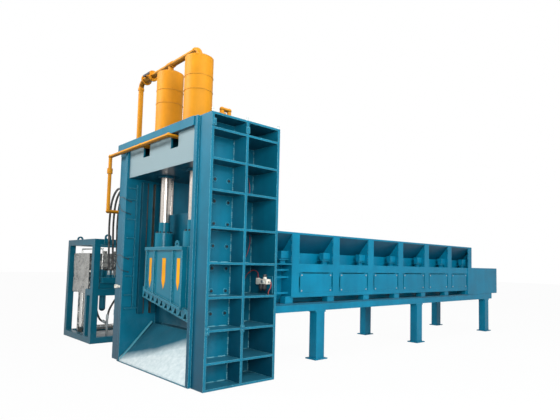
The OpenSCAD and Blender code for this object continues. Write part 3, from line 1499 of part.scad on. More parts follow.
// Thin lines: dark loops round the left jamb, red air tubes, a pale conduit end
line_r = 5;
line_sides = 8;
line_steps = 2;
grommet_r = 12;
grommet_l = 12;
loop_heights = [2610, 1655];
loop_drop = 210;
loop_y = 50;
loop_route = [[-1008, 20, 4], [-1006, -50, 30], [-1060, -80, 62], [-1160, -80, 66], [-1226, -72, 0], [-1190, -70, -80], [-1090, -80, -150], [-1014, -70, -180], [-1006, 10, -204]];
red_route_1 = [[1082, 1085, 300], [1010, 1050, 330], [930, 1010, 270], [880, 1000, 192]];
red_route_2 = [[1386, 1088, 156], [1390, 1080, 100], [1370, 1060, 40]];
wire_y = 1000;
wire_rise = 180;
rib_end_inset = 32;
rib_end_back = 31;
conduit_r = 18;
conduit_l = 240;
conduit_lead = 40;
conduit_z = 1200;
function raised(route, h) = [for (q = route) q + [0, 0, h]];
module service_lines() {
    air_side = [air_x0 + air_plate_t + air_body_inset / 2, air_y, air_body_z + air_body_h + air_plate_t];
    air_out = [air_body_x + air_body_w + outlet_l, air_y, air_body_z + air_body_h / 2];
    wall_end = [rear_out_x + grommet_l, wire_y, air_z0 + wire_rise];
    rib_end = [column_x - rib_end_inset, air_y - rib_end_back, rib_4_z + grommet_l];
    color(dark) for (h = loop_heights) {
        start = [-opening_x + grommet_l, loop_y, h];
        end = [-opening_x + grommet_l, loop_y, h - loop_drop];
        swept_tube(smooth_path(concat([start], raised(loop_route, h), [end]), line_steps), line_r,
                   [1, 0, 0], [-1, 0, 0], [1, 1, 1], line_sides);
        for (z = [h, h - loop_drop]) rod_x(-opening_x, -opening_x + grommet_l, loop_y, z, grommet_r);
    }
    color(red) {
        swept_tube(smooth_path(concat([air_side], raised(red_route_1, air_z0), [wall_end]), line_steps), line_r,
                   [0, 0, 1], [-1, 0, 0], [0, 1, 0], line_sides);
        rod_x(rear_out_x, rear_out_x + grommet_l, wall_end.y, wall_end.z, grommet_r);
        swept_tube(smooth_path(concat([air_out], raised(red_route_2, air_z0), [rib_end]), line_steps), line_r,
                   [1, 0, 0], [0, 0, -1], [0, 1, 0], line_sides);
        translate([rib_end.x, rib_end.y, rib_4_z]) cylinder(r = grommet_r, h = grommet_l, $fn = bolt_fn);
    }
    color(cream) {
        rod_x(-column_x + conduit_lead, -column_x + conduit_lead + conduit_l, -conduit_r - slip_gap, conduit_z, conduit_r, smooth_fn);
        block([-column_x + 2 * conduit_lead, -2 * conduit_r - tie_t, conduit_z - conduit_r - tie_t],
              [-column_x + 3 * conduit_lead, 0, conduit_z + conduit_r + tie_t]);
    }
}

column_right();
column_left();
crosshead();
base_tie();
splice_pads();
rail_bolts();
top_studs();
guide_ladders();
guide_rails();
guide_liners();
knife_table();
lower_blades();
lower_blade_bolts();
chute();
knife_slide();
upper_blades();
upper_blade_bolts();
main_rods();
rod_flanges();
main_cylinder_right();
main_cylinder_left();
rod_glands();
hold_down_beam();
hold_down_rods();
hold_down_cylinders();
top_pipe();
pipe_valve();
valve_lever();
front_pipe();
rear_pipe();
pipe_manifold();
trough_side_right();
trough_side_left();
trough_floor();
trough_covers();
cover_screws();
anchor_blocks();
base_beams();
trough_legs();
end_box();
end_box_lid();
push_head();
feed_barrel();
feed_stage_1();
feed_stage_2();
feed_stage_3();
feed_rod();
unit_frame();
unit_tray();
oil_tank();
valve_block();
tank_pipes();
oil_pump();
pump_motor();
motor_shaft();
unit_hoses();
pump_hoses();
air_unit();
regulator_knob();
service_lines();
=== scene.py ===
import math

import bmesh
import bpy
from mathutils import Matrix, Vector, noise


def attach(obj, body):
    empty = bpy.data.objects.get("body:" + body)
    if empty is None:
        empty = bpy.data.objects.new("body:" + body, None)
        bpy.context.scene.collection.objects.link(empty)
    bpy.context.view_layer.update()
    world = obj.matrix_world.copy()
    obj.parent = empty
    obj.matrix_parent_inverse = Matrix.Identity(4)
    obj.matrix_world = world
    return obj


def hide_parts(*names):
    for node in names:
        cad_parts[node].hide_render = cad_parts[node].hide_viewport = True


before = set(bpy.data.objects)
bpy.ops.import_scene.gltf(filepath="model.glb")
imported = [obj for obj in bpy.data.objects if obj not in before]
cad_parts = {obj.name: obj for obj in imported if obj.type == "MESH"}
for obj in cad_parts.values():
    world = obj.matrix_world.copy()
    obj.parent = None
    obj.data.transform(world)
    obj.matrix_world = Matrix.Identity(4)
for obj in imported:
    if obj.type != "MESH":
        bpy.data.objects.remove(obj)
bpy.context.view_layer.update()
scene = bpy.context.scene

# Camera at the photograph's own standpoint: about seven metres off the front right corner of the
# shear, at eye height, with a normal lens.
camera_place = (6.573, -3.342, 1.620)
view_yaw = math.radians(47.162)
view_pitch = math.radians(4.061)
view_roll = math.radians(1.297)
ahead = Vector((-math.sin(view_yaw) * math.cos(view_pitch), math.cos(view_yaw) * math.cos(view_pitch),
                math.sin(view_pitch)))
level_right = Vector((math.cos(view_yaw), math.sin(view_yaw), 0))
level_up = level_right.cross(ahead)
right = math.cos(view_roll) * level_right + math.sin(view_roll) * level_up
up = math.cos(view_roll) * level_up - math.sin(view_roll) * level_right
camera_data = bpy.data.cameras.new("camera")
camera_data.sensor_width = 36
camera_data.lens = 30.604
camera_data.shift_x = -0.0209
camera_data.shift_y = 0.0378
camera_data.clip_end = 200
camera = bpy.data.objects.new("camera", camera_data)
turned = Matrix((right, up, -ahead)).transposed().to_4x4()
camera.matrix_world = Matrix.Translation(camera_place) @ turned
scene.collection.objects.link(camera)
scene.camera = camera

# Studio light: wide soft boxes at the front left and front right, a soft lamp from the right for the side of
# the column and the trough, one overhead, and an even white surround that the gloss paint and chrome reflect.
scene.view_settings.view_transform = "Standard"


def calc(tree, kind, first, second, clamp=False, offset=None):
    node = tree.nodes.new("ShaderNodeMath")
    node.operation = kind
    node.use_clamp = clamp
    for slot, value in enumerate((first, second)):
        if isinstance(value, (int, float)):
            node.inputs[slot].default_value = value
        else:
            tree.links.new(value, node.inputs[slot])
    if offset is not None:
        node.inputs[2].default_value = offset
    return node.outputs[0]


sky_power = 0.25
surround = bpy.data.worlds.new("surround")
surround.use_nodes = True
scene.world = surround
sky = surround.node_tree
sky.nodes.clear()
sky_out = sky.nodes.new("ShaderNodeOutputWorld")
sky_rays = sky.nodes.new("ShaderNodeLightPath")
sky_light = sky.nodes.new("ShaderNodeBackground")
sky_light.inputs["Color"].default_value = (0.93, 0.97, 1.0, 1)
sky_light.inputs["Strength"].default_value = sky_power
sky_seen = sky.nodes.new("ShaderNodeBackground")
sky_seen.inputs["Color"].default_value = (1, 1, 1, 1)
sky_seen.inputs["Strength"].default_value = 1.0
sky_mix = sky.nodes.new("ShaderNodeMixShader")
sky_kinds = sky_rays.outputs
sky_share = calc(sky, "MAXIMUM", sky_kinds["Is Camera Ray"], sky_kinds["Is Glossy Ray"])
sky_share = calc(sky, "MAXIMUM", sky_share, sky_kinds["Is Transmission Ray"])
sky.links.new(sky_share, sky_mix.inputs["Fac"])
sky.links.new(sky_light.outputs[0], sky_mix.inputs[1])
sky.links.new(sky_seen.outputs[0], sky_mix.inputs[2])
sky.links.new(sky_mix.outputs[0], sky_out.inputs["Surface"])


def soft_box(name, place, target, width, power, colour, spread=180):
    lamp = bpy.data.lights.new(name, "AREA")
    lamp.shape = "SQUARE"
    lamp.size = width
    lamp.energy = power
    lamp.color = colour
    lamp.spread = math.radians(spread)
    box = bpy.data.objects.new(name, lamp)
    box.location = place
    box.rotation_euler = (Vector(target) - Vector(place)).to_track_quat("-Z", "Y").to_euler()
    scene.collection.objects.link(box)


soft_box("front_box", (-4.5, -7.0, 8.0), (0.3, 0.2, 4.2), width=4.0, power=150,
         colour=(1.0, 0.99, 0.97), spread=60)
soft_box("fill_box", (10.0, -6.0, 4.0), (-0.4, 0.3, 1.8), width=4.0, power=820, colour=(1.0, 1.0, 0.99))
soft_box("side_box", (11.0, 1.5, 8.0), (0.8, 4.0, 1.2), width=6.0, power=880, colour=(1.0, 1.0, 1.0))
soft_box("top_box", (1.0, 3.0, 12.0), (0.0, 3.5, 1.0), width=7.0, power=430, colour=(1.0, 1.0, 1.0))

# Floor of the photo: plain and nearly white. The camera and mirrors see it as white, but for a small share
# that still takes the machine's shadow.
floor_half = 60
white_share = 0.965
floor_mesh = bpy.data.meshes.new("floor")
floor_bm = bmesh.new()
bmesh.ops.create_grid(floor_bm, x_segments=1, y_segments=1, size=floor_half)
floor_bm.to_mesh(floor_mesh)
floor_bm.free()
floor = bpy.data.objects.new("floor", floor_mesh)
scene.collection.objects.link(floor)
floor_paint = bpy.data.materials.new("floor_white")
floor_paint.use_nodes = True
ground = floor_paint.node_tree
ground.nodes.clear()
ground_out = ground.nodes.new("ShaderNodeOutputMaterial")
ground_body = ground.nodes.new("ShaderNodeBsdfDiffuse")
ground_body.inputs["Color"].default_value = (0.74, 0.76, 0.77, 1)
ground_white = ground.nodes.new("ShaderNodeEmission")
ground_rays = ground.nodes.new("ShaderNodeLightPath")
ground_mix = ground.nodes.new("ShaderNodeMixShader")
ground_kinds = ground_rays.outputs
ground_any = calc(ground, "MAXIMUM", ground_kinds["Is Camera Ray"], ground_kinds["Is Glossy Ray"])
ground.links.new(calc(ground, "MULTIPLY", ground_any, white_share), ground_mix.inputs["Fac"])
ground.links.new(ground_body.outputs[0], ground_mix.inputs[1])
ground.links.new(ground_white.outputs[0], ground_mix.inputs[2])
ground.links.new(ground_mix.outputs[0], ground_out.inputs["Surface"])
floor.data.materials.append(floor_paint)

# Gantry columns and crosshead: flame-cut plate welded into open bays, brushed and rolled with a teal
# enamel that is chipped along its edges. The chips are coloured light teal, partly wear and partly a
# painted highlight, and faces that look down are darkened as painted shade. The front faces of the
# columns get darker towards the floor. The front panel of the crosshead is coloured a paler grey-teal.


def node_group(name, inputs, outputs):
    group = bpy.data.node_groups.new(name, "ShaderNodeTree")
    for socket, kind, value in inputs:
        made = group.interface.new_socket(name=socket, in_out="INPUT", socket_type=kind)
        made.default_value = value
    for socket, kind in outputs:
        group.interface.new_socket(name=socket, in_out="OUTPUT", socket_type=kind)
    return group, group.nodes.new("NodeGroupInput"), group.nodes.new("NodeGroupOutput")


def fade(tree, value, low, high):
    node = tree.nodes.new("ShaderNodeMapRange")
    node.inputs["From Min"].default_value = low
    node.inputs["From Max"].default_value = high
    tree.links.new(value, node.inputs["Value"])
    return node.outputs["Result"]


def tint(tree, share, first, second, blend="MIX"):
    node = tree.nodes.new("ShaderNodeMix")
    node.data_type = "RGBA"
    node.blend_type = blend
    for slot, value in ((0, share), (6, first), (7, second)):
        if isinstance(value, (int, float, tuple)):
            node.inputs[slot].default_value = value
        else:
            tree.links.new(value, node.inputs[slot])
    return node.outputs[2]


def axes_of(tree, vector):
    node = tree.nodes.new("ShaderNodeSeparateXYZ")
    tree.links.new(vector, node.inputs[0])
    return node.outputs


def cloud(tree, place, scale, detail, rough=0.5):
    node = tree.nodes.new("ShaderNodeTexNoise")
    node.inputs["Detail"].default_value = detail
    node.inputs["Roughness"].default_value = rough
    if isinstance(scale, (int, float)):
        node.inputs["Scale"].default_value = scale
    else:
        tree.links.new(scale, node.inputs["Scale"])
    tree.links.new(place, node.inputs["Vector"])
    return node.outputs["Fac"]


def enamel_group():
    group, given, made = node_group("enamel_film", [
        ("Paint", "NodeSocketColor", (0.015, 0.16, 0.26, 1)),
        ("Worn Highlight", "NodeSocketColor", (0.25, 0.42, 0.5, 1)),
        ("Dust", "NodeSocketColor", (0.30, 0.34, 0.36, 1)),
        ("Wear", "NodeSocketFloat", 0.5), ("Dusting", "NodeSocketFloat", 0.25),
        ("Gloss", "NodeSocketFloat", 0.32), ("Foot Darkening", "NodeSocketFloat", 0.0),
        ("Rounding", "NodeSocketFloat", 0.009)],
        [("Colour", "NodeSocketColor"), ("Roughness", "NodeSocketFloat"), ("Height", "NodeSocketFloat"),
         ("Normal", "NodeSocketVector")])
    place = group.nodes.new("ShaderNodeTexCoord")
    spot = place.outputs["Object"]
    stretch = group.nodes.new("ShaderNodeMapping")
    stretch.inputs["Scale"].default_value = (7.0, 7.0, 0.7)
    group.links.new(spot, stretch.inputs["Vector"])
    patch = cloud(group, spot, 1.7, 5.0, 0.6)
    runs = cloud(group, stretch.outputs["Vector"], 1.0, 4.0)
    peel = cloud(group, spot, 160.0, 3.0)
    chips = cloud(group, spot, 26.0, 6.0, 0.65)
    rounded = group.nodes.new("ShaderNodeBevel")
    rounded.samples = 3
    group.links.new(given.outputs["Rounding"], rounded.inputs["Radius"])
    shape = group.nodes.new("ShaderNodeNewGeometry")
    turn = group.nodes.new("ShaderNodeVectorMath")
    turn.operation = "DOT_PRODUCT"
    group.links.new(rounded.outputs["Normal"], turn.inputs[0])
    group.links.new(shape.outputs["Normal"], turn.inputs[1])
    edge = fade(group, turn.outputs["Value"], 0.995, 0.90)
    # Chipped edges: coloured light teal, partly wear and partly a painted highlight on the edges.
    chipped_edge_highlight = calc(group, "MULTIPLY", edge, fade(group, chips, 0.30, 0.54), True)
    chipped_edge_highlight = calc(group, "MULTIPLY", chipped_edge_highlight, given.outputs["Wear"], True)
    patches = fade(group, patch, 0.32, 0.70)
    shade = tint(group, patches, (0.84, 0.84, 0.84, 1), (1.12, 1.12, 1.12, 1))
    run_shade = tint(group, fade(group, runs, 0.35, 0.7), (0.93, 0.94, 0.95, 1), (1.06, 1.05, 1.04, 1))
    coat = tint(group, 1.0, given.outputs["Paint"], shade, "MULTIPLY")
    coat = tint(group, 1.0, coat, run_shade, "MULTIPLY")
    above = axes_of(group, spot)["Z"]
    low = fade(group, above, 1.1, 0.0)
    grime = calc(group, "MULTIPLY", fade(group, cloud(group, spot, 4.0, 8.0, 0.7), 0.45, 0.75), low, True)
    facing = axes_of(group, shape.outputs["Normal"])
    lying = calc(group, "MULTIPLY", fade(group, facing["Z"], 0.6, 1.0), 0.6)
    settled = calc(group, "MAXIMUM", grime, lying)
    settled = calc(group, "MULTIPLY", settled, given.outputs["Dusting"], True)
    coat = tint(group, settled, coat, given.outputs["Dust"])
    # Front faces get darker from 2.6 m down to 0.3 m above the floor.
    front = fade(group, facing["Y"], -0.4, -0.9)
    foot_darkening = calc(group, "MULTIPLY", front, fade(group, above, 2.6, 0.3), True)
    foot_darkening = calc(group, "MULTIPLY", foot_darkening, given.outputs["Foot Darkening"], True)
    coat = tint(group, foot_darkening, coat, tint(group, 1.0, coat, (0.10, 0.24, 0.30, 1), "MULTIPLY"))
    # Faces that look down are darkened: painted shade.
    underside_shade = calc(group, "MULTIPLY", fade(group, facing["Z"], -0.06, -0.22), 0.80, True)
    coat = tint(group, underside_shade, coat, tint(group, 1.0, coat, (0.14, 0.16, 0.19, 1), "MULTIPLY"))
    group.links.new(tint(group, chipped_edge_highlight, coat, given.outputs["Worn Highlight"]), made.inputs["Colour"])
    rough = calc(group, "ADD", given.outputs["Gloss"], calc(group, "MULTIPLY", patch, 0.16))
    rough = calc(group, "ADD", rough, calc(group, "MULTIPLY", settled, 0.4), True)
    group.links.new(rough, made.inputs["Roughness"])
    group.links.new(calc(group, "ADD", peel, calc(group, "MULTIPLY", runs, 1.6)), made.inputs["Height"])
    group.links.new(rounded.outputs["Normal"], made.inputs["Normal"])
    return group


def finish_of(name, group, values, bump, bump_size, **shader_values):
    material = bpy.data.materials.new(name)
    material.use_nodes = True
    tree = material.node_tree
    shader = tree.nodes["Principled BSDF"]
    effect = tree.nodes.new("ShaderNodeGroup")
    effect.node_tree = group
    for socket, value in values.items():
        effect.inputs[socket].default_value = value
    tree.links.new(effect.outputs["Colour"], shader.inputs["Base Color"])
    tree.links.new(effect.outputs["Roughness"], shader.inputs["Roughness"])
    relief = tree.nodes.new("ShaderNodeBump")
    relief.inputs["Strength"].default_value = bump
    relief.inputs["Distance"].default_value = bump_size
    tree.links.new(effect.outputs["Height"], relief.inputs["Height"])
    if "Normal" in effect.outputs:
        tree.links.new(effect.outputs["Normal"], relief.inputs["Normal"])
    tree.links.new(relief.outputs["Normal"], shader.inputs["Normal"])
    for socket, value in shader_values.items():
        shader.inputs[socket.replace("_", " ")].default_value = value
    return material


enamel_film = enamel_group()


def enamel(name, paint, worn_highlight, wear_highlight, dusting, gloss, coat=0.15, foot_darkening=0.0):
    return finish_of(
        name, enamel_film, {"Paint": paint, "Worn Highlight": worn_highlight, "Wear": wear_highlight, "Dusting": dusting, "Gloss": gloss,
                            "Foot Darkening": foot_darkening}, bump=0.12, bump_size=0.0008,
        Coat_Weight=coat, Coat_Roughness=0.12, Specular_IOR_Level=0.15)


def axes_in(material):
    tree = material.node_tree
    return tree, axes_of(tree, tree.nodes.new("ShaderNodeTexCoord").outputs["Object"])


def repaint(material, mask, colour):
    tree = material.node_tree
    paint = tree.nodes["Principled BSDF"].inputs["Base Color"]
    tree.links.new(tint(tree, mask, paint.links[0].from_socket, colour), paint)


def coat_nodes(material, *nodes):
    for name in nodes:
        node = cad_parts[name]
        if not node.material_slots:
            node.data.materials.append(material)
        for slot in node.material_slots:
            slot.link = "DATA"
            slot.material = material


gantry_teal = enamel("gantry_teal", (0.004, 0.150, 0.240, 1), (0.17, 0.52, 0.62, 1),
                     wear_highlight=1.0, dusting=0.10, gloss=0.26, coat=0.10, foot_darkening=0.75)
coat_nodes(gantry_teal, "column_right", "column_left", "base_tie", "guide_ladders")
panel_front_y = 0.004
top_bar_z = 3.4695
panel_teal = enamel("panel_teal", (0.004, 0.150, 0.240, 1), (0.10, 0.40, 0.52, 1),
                    wear_highlight=0.8, dusting=0.10, gloss=0.24, coat=0.14)
panel_tree, panel_axes = axes_in(panel_teal)
# The front panel below the top bar is coloured a paler grey-teal than the frame.
panel_mask = calc(panel_tree, "MULTIPLY", calc(panel_tree, "LESS_THAN", panel_axes["Y"], panel_front_y),
                  calc(panel_tree, "LESS_THAN", panel_axes["Z"], top_bar_z))
repaint(panel_teal, panel_mask, (0.23, 0.32, 0.35, 1))
coat_nodes(panel_teal, "crosshead")

# Stitched fillet welds in the corners of the column bays, where the ribs and the middle and rear flanges
# meet the jamb wall. Electric arc beads, left as laid and painted over. They are coloured a lighter teal
# than the gantry: a painted highlight on the beads.


def piece(name, bm, material, body="machine", smooth=None):
    mesh = bpy.data.meshes.new(name)
    bmesh.ops.recalc_face_normals(bm, faces=bm.faces)
    bm.to_mesh(mesh)
    bm.free()
    made = bpy.data.objects.new(name, mesh)
    scene.collection.objects.link(made)
    mesh.materials.append(material)
    if smooth is not None:
        mesh.polygons.foreach_set("use_smooth", [True] * len(mesh.polygons))
        mesh.set_sharp_from_angle(angle=math.radians(smooth))
    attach(made, body)
    return made


weld_bead_highlit = enamel("weld_bead_highlit", (0.080, 0.360, 0.460, 1), (0.34, 0.58, 0.64, 1),
                   wear_highlight=0.9, dusting=0.1, gloss=0.22, coat=0.3)
rib_tops = [0.357, 0.768, 1.188, 1.635, 2.096, 2.588, 3.003, 3.402]
base_top_z = 0.030
top_plate_z = 3.600
front_bay_x, front_bay_y = 1.112, 0.568
rear_bay_x, rear_bay_y = 0.842, 1.138
upright_pitch = 0.024
flat_pitch = 0.030
bead_r = 0.012


def weld_run(bm, start, end, pitch):
    start, end = Vector(start), Vector(end)
    along = (end - start).normalized()
    turn = along.to_track_quat("Z", "Y").to_matrix().to_4x4()
    count = int((end - start).length / pitch)
    run_bm = bmesh.new()
    for i in range(count):
        if i % 6 > 3:  # four beads, then a gap of two
            continue
        place = start + along * pitch * (i + 0.5)
        swell = 1 + 0.25 * noise.noise(place * 31)
        size = Matrix.Diagonal((bead_r * swell, bead_r * swell, pitch * 0.54, 1))
        bmesh.ops.create_uvsphere(run_bm, u_segments=8, v_segments=5, radius=1,
                                  matrix=Matrix.Translation(place) @ turn @ size)
    run_mesh = bpy.data.meshes.new("run")
    run_bm.to_mesh(run_mesh)
    run_bm.free()
    bm.from_mesh(run_mesh)
    bpy.data.meshes.remove(run_mesh)


for side, sign in (("right", 1), ("left", -1)):
    weld_bm = bmesh.new()
    for x, y in ((front_bay_x, front_bay_y), (rear_bay_x, rear_bay_y)):
        bottom = base_top_z
        for top in rib_tops + [top_plate_z]:
            weld_run(weld_bm, (sign * x, y, bottom + 0.01), (sign * x, y, top - 0.04), upright_pitch)
            bottom = top
    for top in [base_top_z] + rib_tops:
        z = top + 0.002
        weld_run(weld_bm, (sign * front_bay_x, 0.05, z), (sign * front_bay_x, 0.56, z), flat_pitch)
        weld_run(weld_bm, (sign * rear_bay_x, 0.62, z), (sign * rear_bay_x, 1.13, z), flat_pitch)
    piece(f"bay_welds_{side}", weld_bm, weld_bead_highlit, smooth=60)

# Bolts, studs and splice pads: blackened steel screws through the jambs, each on a washer in the teal of
# the gantry, and zinc studs on the top plate. Machined steel keeps its grey, with oil and handling marks.


def metal_group():
    group, given, made = node_group("worked_metal", [
        ("Metal", "NodeSocketColor", (0.5, 0.5, 0.5, 1)), ("Stain", "NodeSocketColor", (0.1, 0.08, 0.06, 1)),
        ("Staining", "NodeSocketFloat", 0.3), ("Smoothness", "NodeSocketFloat", 0.25),
        ("Grain", "NodeSocketFloat", 40.0), ("Rounding", "NodeSocketFloat", 0.002)],
        [("Colour", "NodeSocketColor"), ("Roughness", "NodeSocketFloat"), ("Height", "NodeSocketFloat"),
         ("Normal", "NodeSocketVector")])
    place = group.nodes.new("ShaderNodeTexCoord")
    spot = place.outputs["Object"]
    stretch = group.nodes.new("ShaderNodeMapping")
    stretch.inputs["Scale"].default_value = (0.4, 0.4, 6.0)
    group.links.new(spot, stretch.inputs["Vector"])
    lines = cloud(group, stretch.outputs["Vector"], given.outputs["Grain"], 3.0)
    blot = fade(group, cloud(group, spot, 7.0, 7.0, 0.65), 0.50, 0.72)
    stain = calc(group, "MULTIPLY", blot, given.outputs["Staining"], True)
    rounded = group.nodes.new("ShaderNodeBevel")
    rounded.samples = 3
    group.links.new(given.outputs["Rounding"], rounded.inputs["Radius"])
    shade = tint(group, lines, (0.88, 0.88, 0.88, 1), (1.1, 1.1, 1.1, 1))
    bright = tint(group, 1.0, given.outputs["Metal"], shade, "MULTIPLY")
    group.links.new(tint(group, stain, bright, given.outputs["Stain"]), made.inputs["Colour"])
    rough = calc(group, "ADD", given.outputs["Smoothness"], calc(group, "MULTIPLY", lines, 0.12))
    rough = calc(group, "ADD", rough, calc(group, "MULTIPLY", stain, 0.35), True)
    group.links.new(rough, made.inputs["Roughness"])
    group.links.new(lines, made.inputs["Height"])
    group.links.new(rounded.outputs["Normal"], made.inputs["Normal"])
    return group


worked_metal = metal_group()


def metal(name, colour, stain, staining, smoothness, grain, metallic=1.0, bump=0.1):
    return finish_of(name, worked_metal, {
        "Metal": colour, "Stain": stain, "Staining": staining, "Smoothness": smoothness, "Grain": grain},
        bump=bump, bump_size=0.0005, Metallic=metallic)


black_steel = metal("black_steel", (0.020, 0.023, 0.026, 1), (0.010, 0.010, 0.010, 1),
                    staining=0.4, smoothness=0.34, grain=60.0, metallic=0.3)
zinc = metal("zinc", (0.42, 0.47, 0.48, 1), (0.12, 0.13, 0.13, 1),
             staining=0.5, smoothness=0.35, grain=50.0, metallic=0.8)
coat_nodes(black_steel, "rail_bolts", "lower_blade_bolts", "upper_blade_bolts")
coat_nodes(zinc, "top_studs")


def bar(bm, start, end, radius, sides, end_radius=None):
    start, end = Vector(start), Vector(end)
    turn = (end - start).to_track_quat("Z", "Y").to_matrix().to_4x4()
    bmesh.ops.create_cone(bm, cap_ends=True, segments=sides, radius1=radius,
                          radius2=radius if end_radius is None else end_radius, depth=(end - start).length,
                          matrix=Matrix.Translation((start + end) / 2) @ turn)


bolt_rows_y = (0.265, 0.495)
low_bolt_z = 0.940
bolt_pitch = 0.305
jamb_outside_x = 1.1095
washer_face_x = 1.115
washer_r = 0.036
washer_bm = bmesh.new()
for sign in (-1, 1):
    for i in range(7):
        for y in bolt_rows_y:
            z = low_bolt_z + bolt_pitch * i
            bar(washer_bm, (sign * jamb_outside_x, y, z), (sign * washer_face_x, y, z), washer_r, 24, 0.034)
piece("bolt_washers", washer_bm, gantry_teal, smooth=30)
coat_nodes(gantry_teal, "splice_pads")

# Guide rails and liners: painted steel bars bolted through the jambs, with bronze strips that wear in
# place of the slide. Old grease has turned the bronze dark brown.
rail_paint = enamel("rail_paint", (0.002, 0.080, 0.130, 1), (0.12, 0.30, 0.36, 1),
                    wear_highlight=0.6, dusting=0.1, gloss=0.30)
bronze = metal("bronze", (0.150, 0.095, 0.060, 1), (0.030, 0.026, 0.022, 1),
               staining=0.9, smoothness=0.34, grain=90.0, metallic=0.8)
coat_nodes(rail_paint, "guide_rails", "rod_glands")
coat_nodes(bronze, "guide_liners")

# Knife table and blades: a welded box between the rear walls carries the lower blade. The blades of both
# knives are ground tool steel, held by countersunk screws.
table_paint = enamel("table_paint", (0.004, 0.070, 0.110, 1), (0.12, 0.26, 0.32, 1),
                     wear_highlight=0.7, dusting=0.3, gloss=0.38)
tool_steel = metal("tool_steel", (0.50, 0.51, 0.52, 1), (0.10, 0.07, 0.05, 1),
                   staining=0.35, smoothness=0.20, grain=120.0)
coat_nodes(table_paint, "knife_table")
coat_nodes(tool_steel, "lower_blades", "upper_blades")

# Discharge chute: a sloped steel plate welded between the jambs, with a round bar along each edge. The lower
# part of its gloss paint is painted pale, more on the right: a painted reflection.
chute_gloss = enamel("chute_gloss", (0.010, 0.120, 0.185, 1), (0.14, 0.46, 0.54, 1),
                     wear_highlight=0.9, dusting=0.2, gloss=0.10, coat=0.7)
# Pale painted reflection on the lower chute, below a line that rises to the right.
reflection_slope = 0.27
reflection_top_z = 0.33
reflection_full_z = 0.20
reflection_wander = 0.16
chute_tree = chute_gloss.node_tree
chute_place = chute_tree.nodes.new("ShaderNodeTexCoord").outputs["Object"]
chute_axes = axes_of(chute_tree, chute_place)
chute_spots = cloud(chute_tree, chute_place, 1.4, 3.0)
chute_slant = calc(chute_tree, "MULTIPLY", chute_axes["X"], reflection_slope)
chute_rise = calc(chute_tree, "ADD", chute_slant, calc(chute_tree, "MULTIPLY", chute_spots, reflection_wander))
chute_above = calc(chute_tree, "SUBTRACT", chute_axes["Z"], chute_rise)
chute_painted_reflection = fade(chute_tree, chute_above, reflection_top_z, reflection_full_z)
chute_reflection_mottle = fade(chute_tree, cloud(chute_tree, chute_place, 14.0, 6.0, 0.7), 0.35, 0.65)
chute_bright = tint(chute_tree, chute_reflection_mottle, (0.60, 0.73, 0.76, 1), (0.80, 0.90, 0.92, 1))
repaint(chute_gloss, chute_painted_reflection, chute_bright)
coat_nodes(chute_gloss, "chute")
# The edge bars take the lighter weld teal: a painted highlight along the chute's edges.
edge_bar_x = 1.016
edge_bar_r = 0.020
edge_bm = bmesh.new()
for x in (-edge_bar_x, edge_bar_x):
    bar(edge_bm, (x, -0.012, 0.044), (x, 0.505, 0.610), edge_bar_r, 20)
piece("chute_edge_bars", edge_bm, weld_bead_highlit, smooth=40)

# Knife slide: welded box with a ribbed nose that carries the raked blade, gloss teal enamel. Black screws
# hold its rod flanges. Three yellow pencil-shaped arrows on the nose are stencilled paint, and go up and
# down with it.
slide_teal = enamel("slide_teal", (0.003, 0.165, 0.250, 1), (0.22, 0.54, 0.62, 1),
                    wear_highlight=1.0, dusting=0.08, gloss=0.24, coat=0.15)
coat_nodes(slide_teal, "knife_slide", "rod_flanges")
rod_x, rod_y = 0.44, 0.36
rod_flange_z = 2.0795
screw_circle_r = 0.115
screw_h = 0.0255
screw_bm = bmesh.new()
for x in (-rod_x, rod_x):
    for i in range(12):
        a = math.radians(30 * i)
        place = (x + screw_circle_r * math.cos(a), rod_y + screw_circle_r * math.sin(a))
        bar(screw_bm, (*place, rod_flange_z), (*place, rod_flange_z + screw_h), 0.0135, 6)
piece("rod_flange_screws", screw_bm, black_steel, "knife", smooth=30)
arrow_yellow = enamel("arrow_yellow", (0.85, 0.36, 0.008, 1), (0.55, 0.36, 0.10, 1),
                      wear_highlight=0.2, dusting=0.03, gloss=0.36, coat=0.0)
arrows = ((-0.43, 0.076), (0.0, 0.108), (0.43, 0.088))
arrow_top_z = 1.680
arrow_tip_z = 1.215
arrow_shoulder_z = 1.330
nose_panel_y = 0.145
for i, (x, arrow_w) in enumerate(arrows):
    arrow_bm = bmesh.new()
    left, right_side = x - arrow_w / 2, x + arrow_w / 2
    outline = [(left, arrow_top_z), (right_side, arrow_top_z), (right_side, arrow_shoulder_z),
               (x, arrow_tip_z), (left, arrow_shoulder_z)]
    corners = [arrow_bm.verts.new((px, nose_panel_y + 0.001, pz)) for px, pz in outline]
    front = arrow_bm.faces.new(corners)
    grown = bmesh.ops.extrude_face_region(arrow_bm, geom=[front])
    bmesh.ops.translate(arrow_bm, vec=(0, -0.003, 0),
                        verts=[v for v in grown["geom"] if isinstance(v, bmesh.types.BMVert)])
    piece(f"arrow_mark_{i + 1}", arrow_bm, arrow_yellow, "knife")

# Main rods and hold-down rods: ground steel with hard chrome, and a film of oil. They screw into the
# pistons and are flanged to the slide and to the beam.
chrome = metal("chrome", (0.56, 0.51, 0.465, 1), (0.50, 0.47, 0.42, 1),
               staining=0.1, smoothness=0.22, grain=70.0, metallic=0.8, bump=0.0)
coat_nodes(chrome, "main_rods", "hold_down_rods")

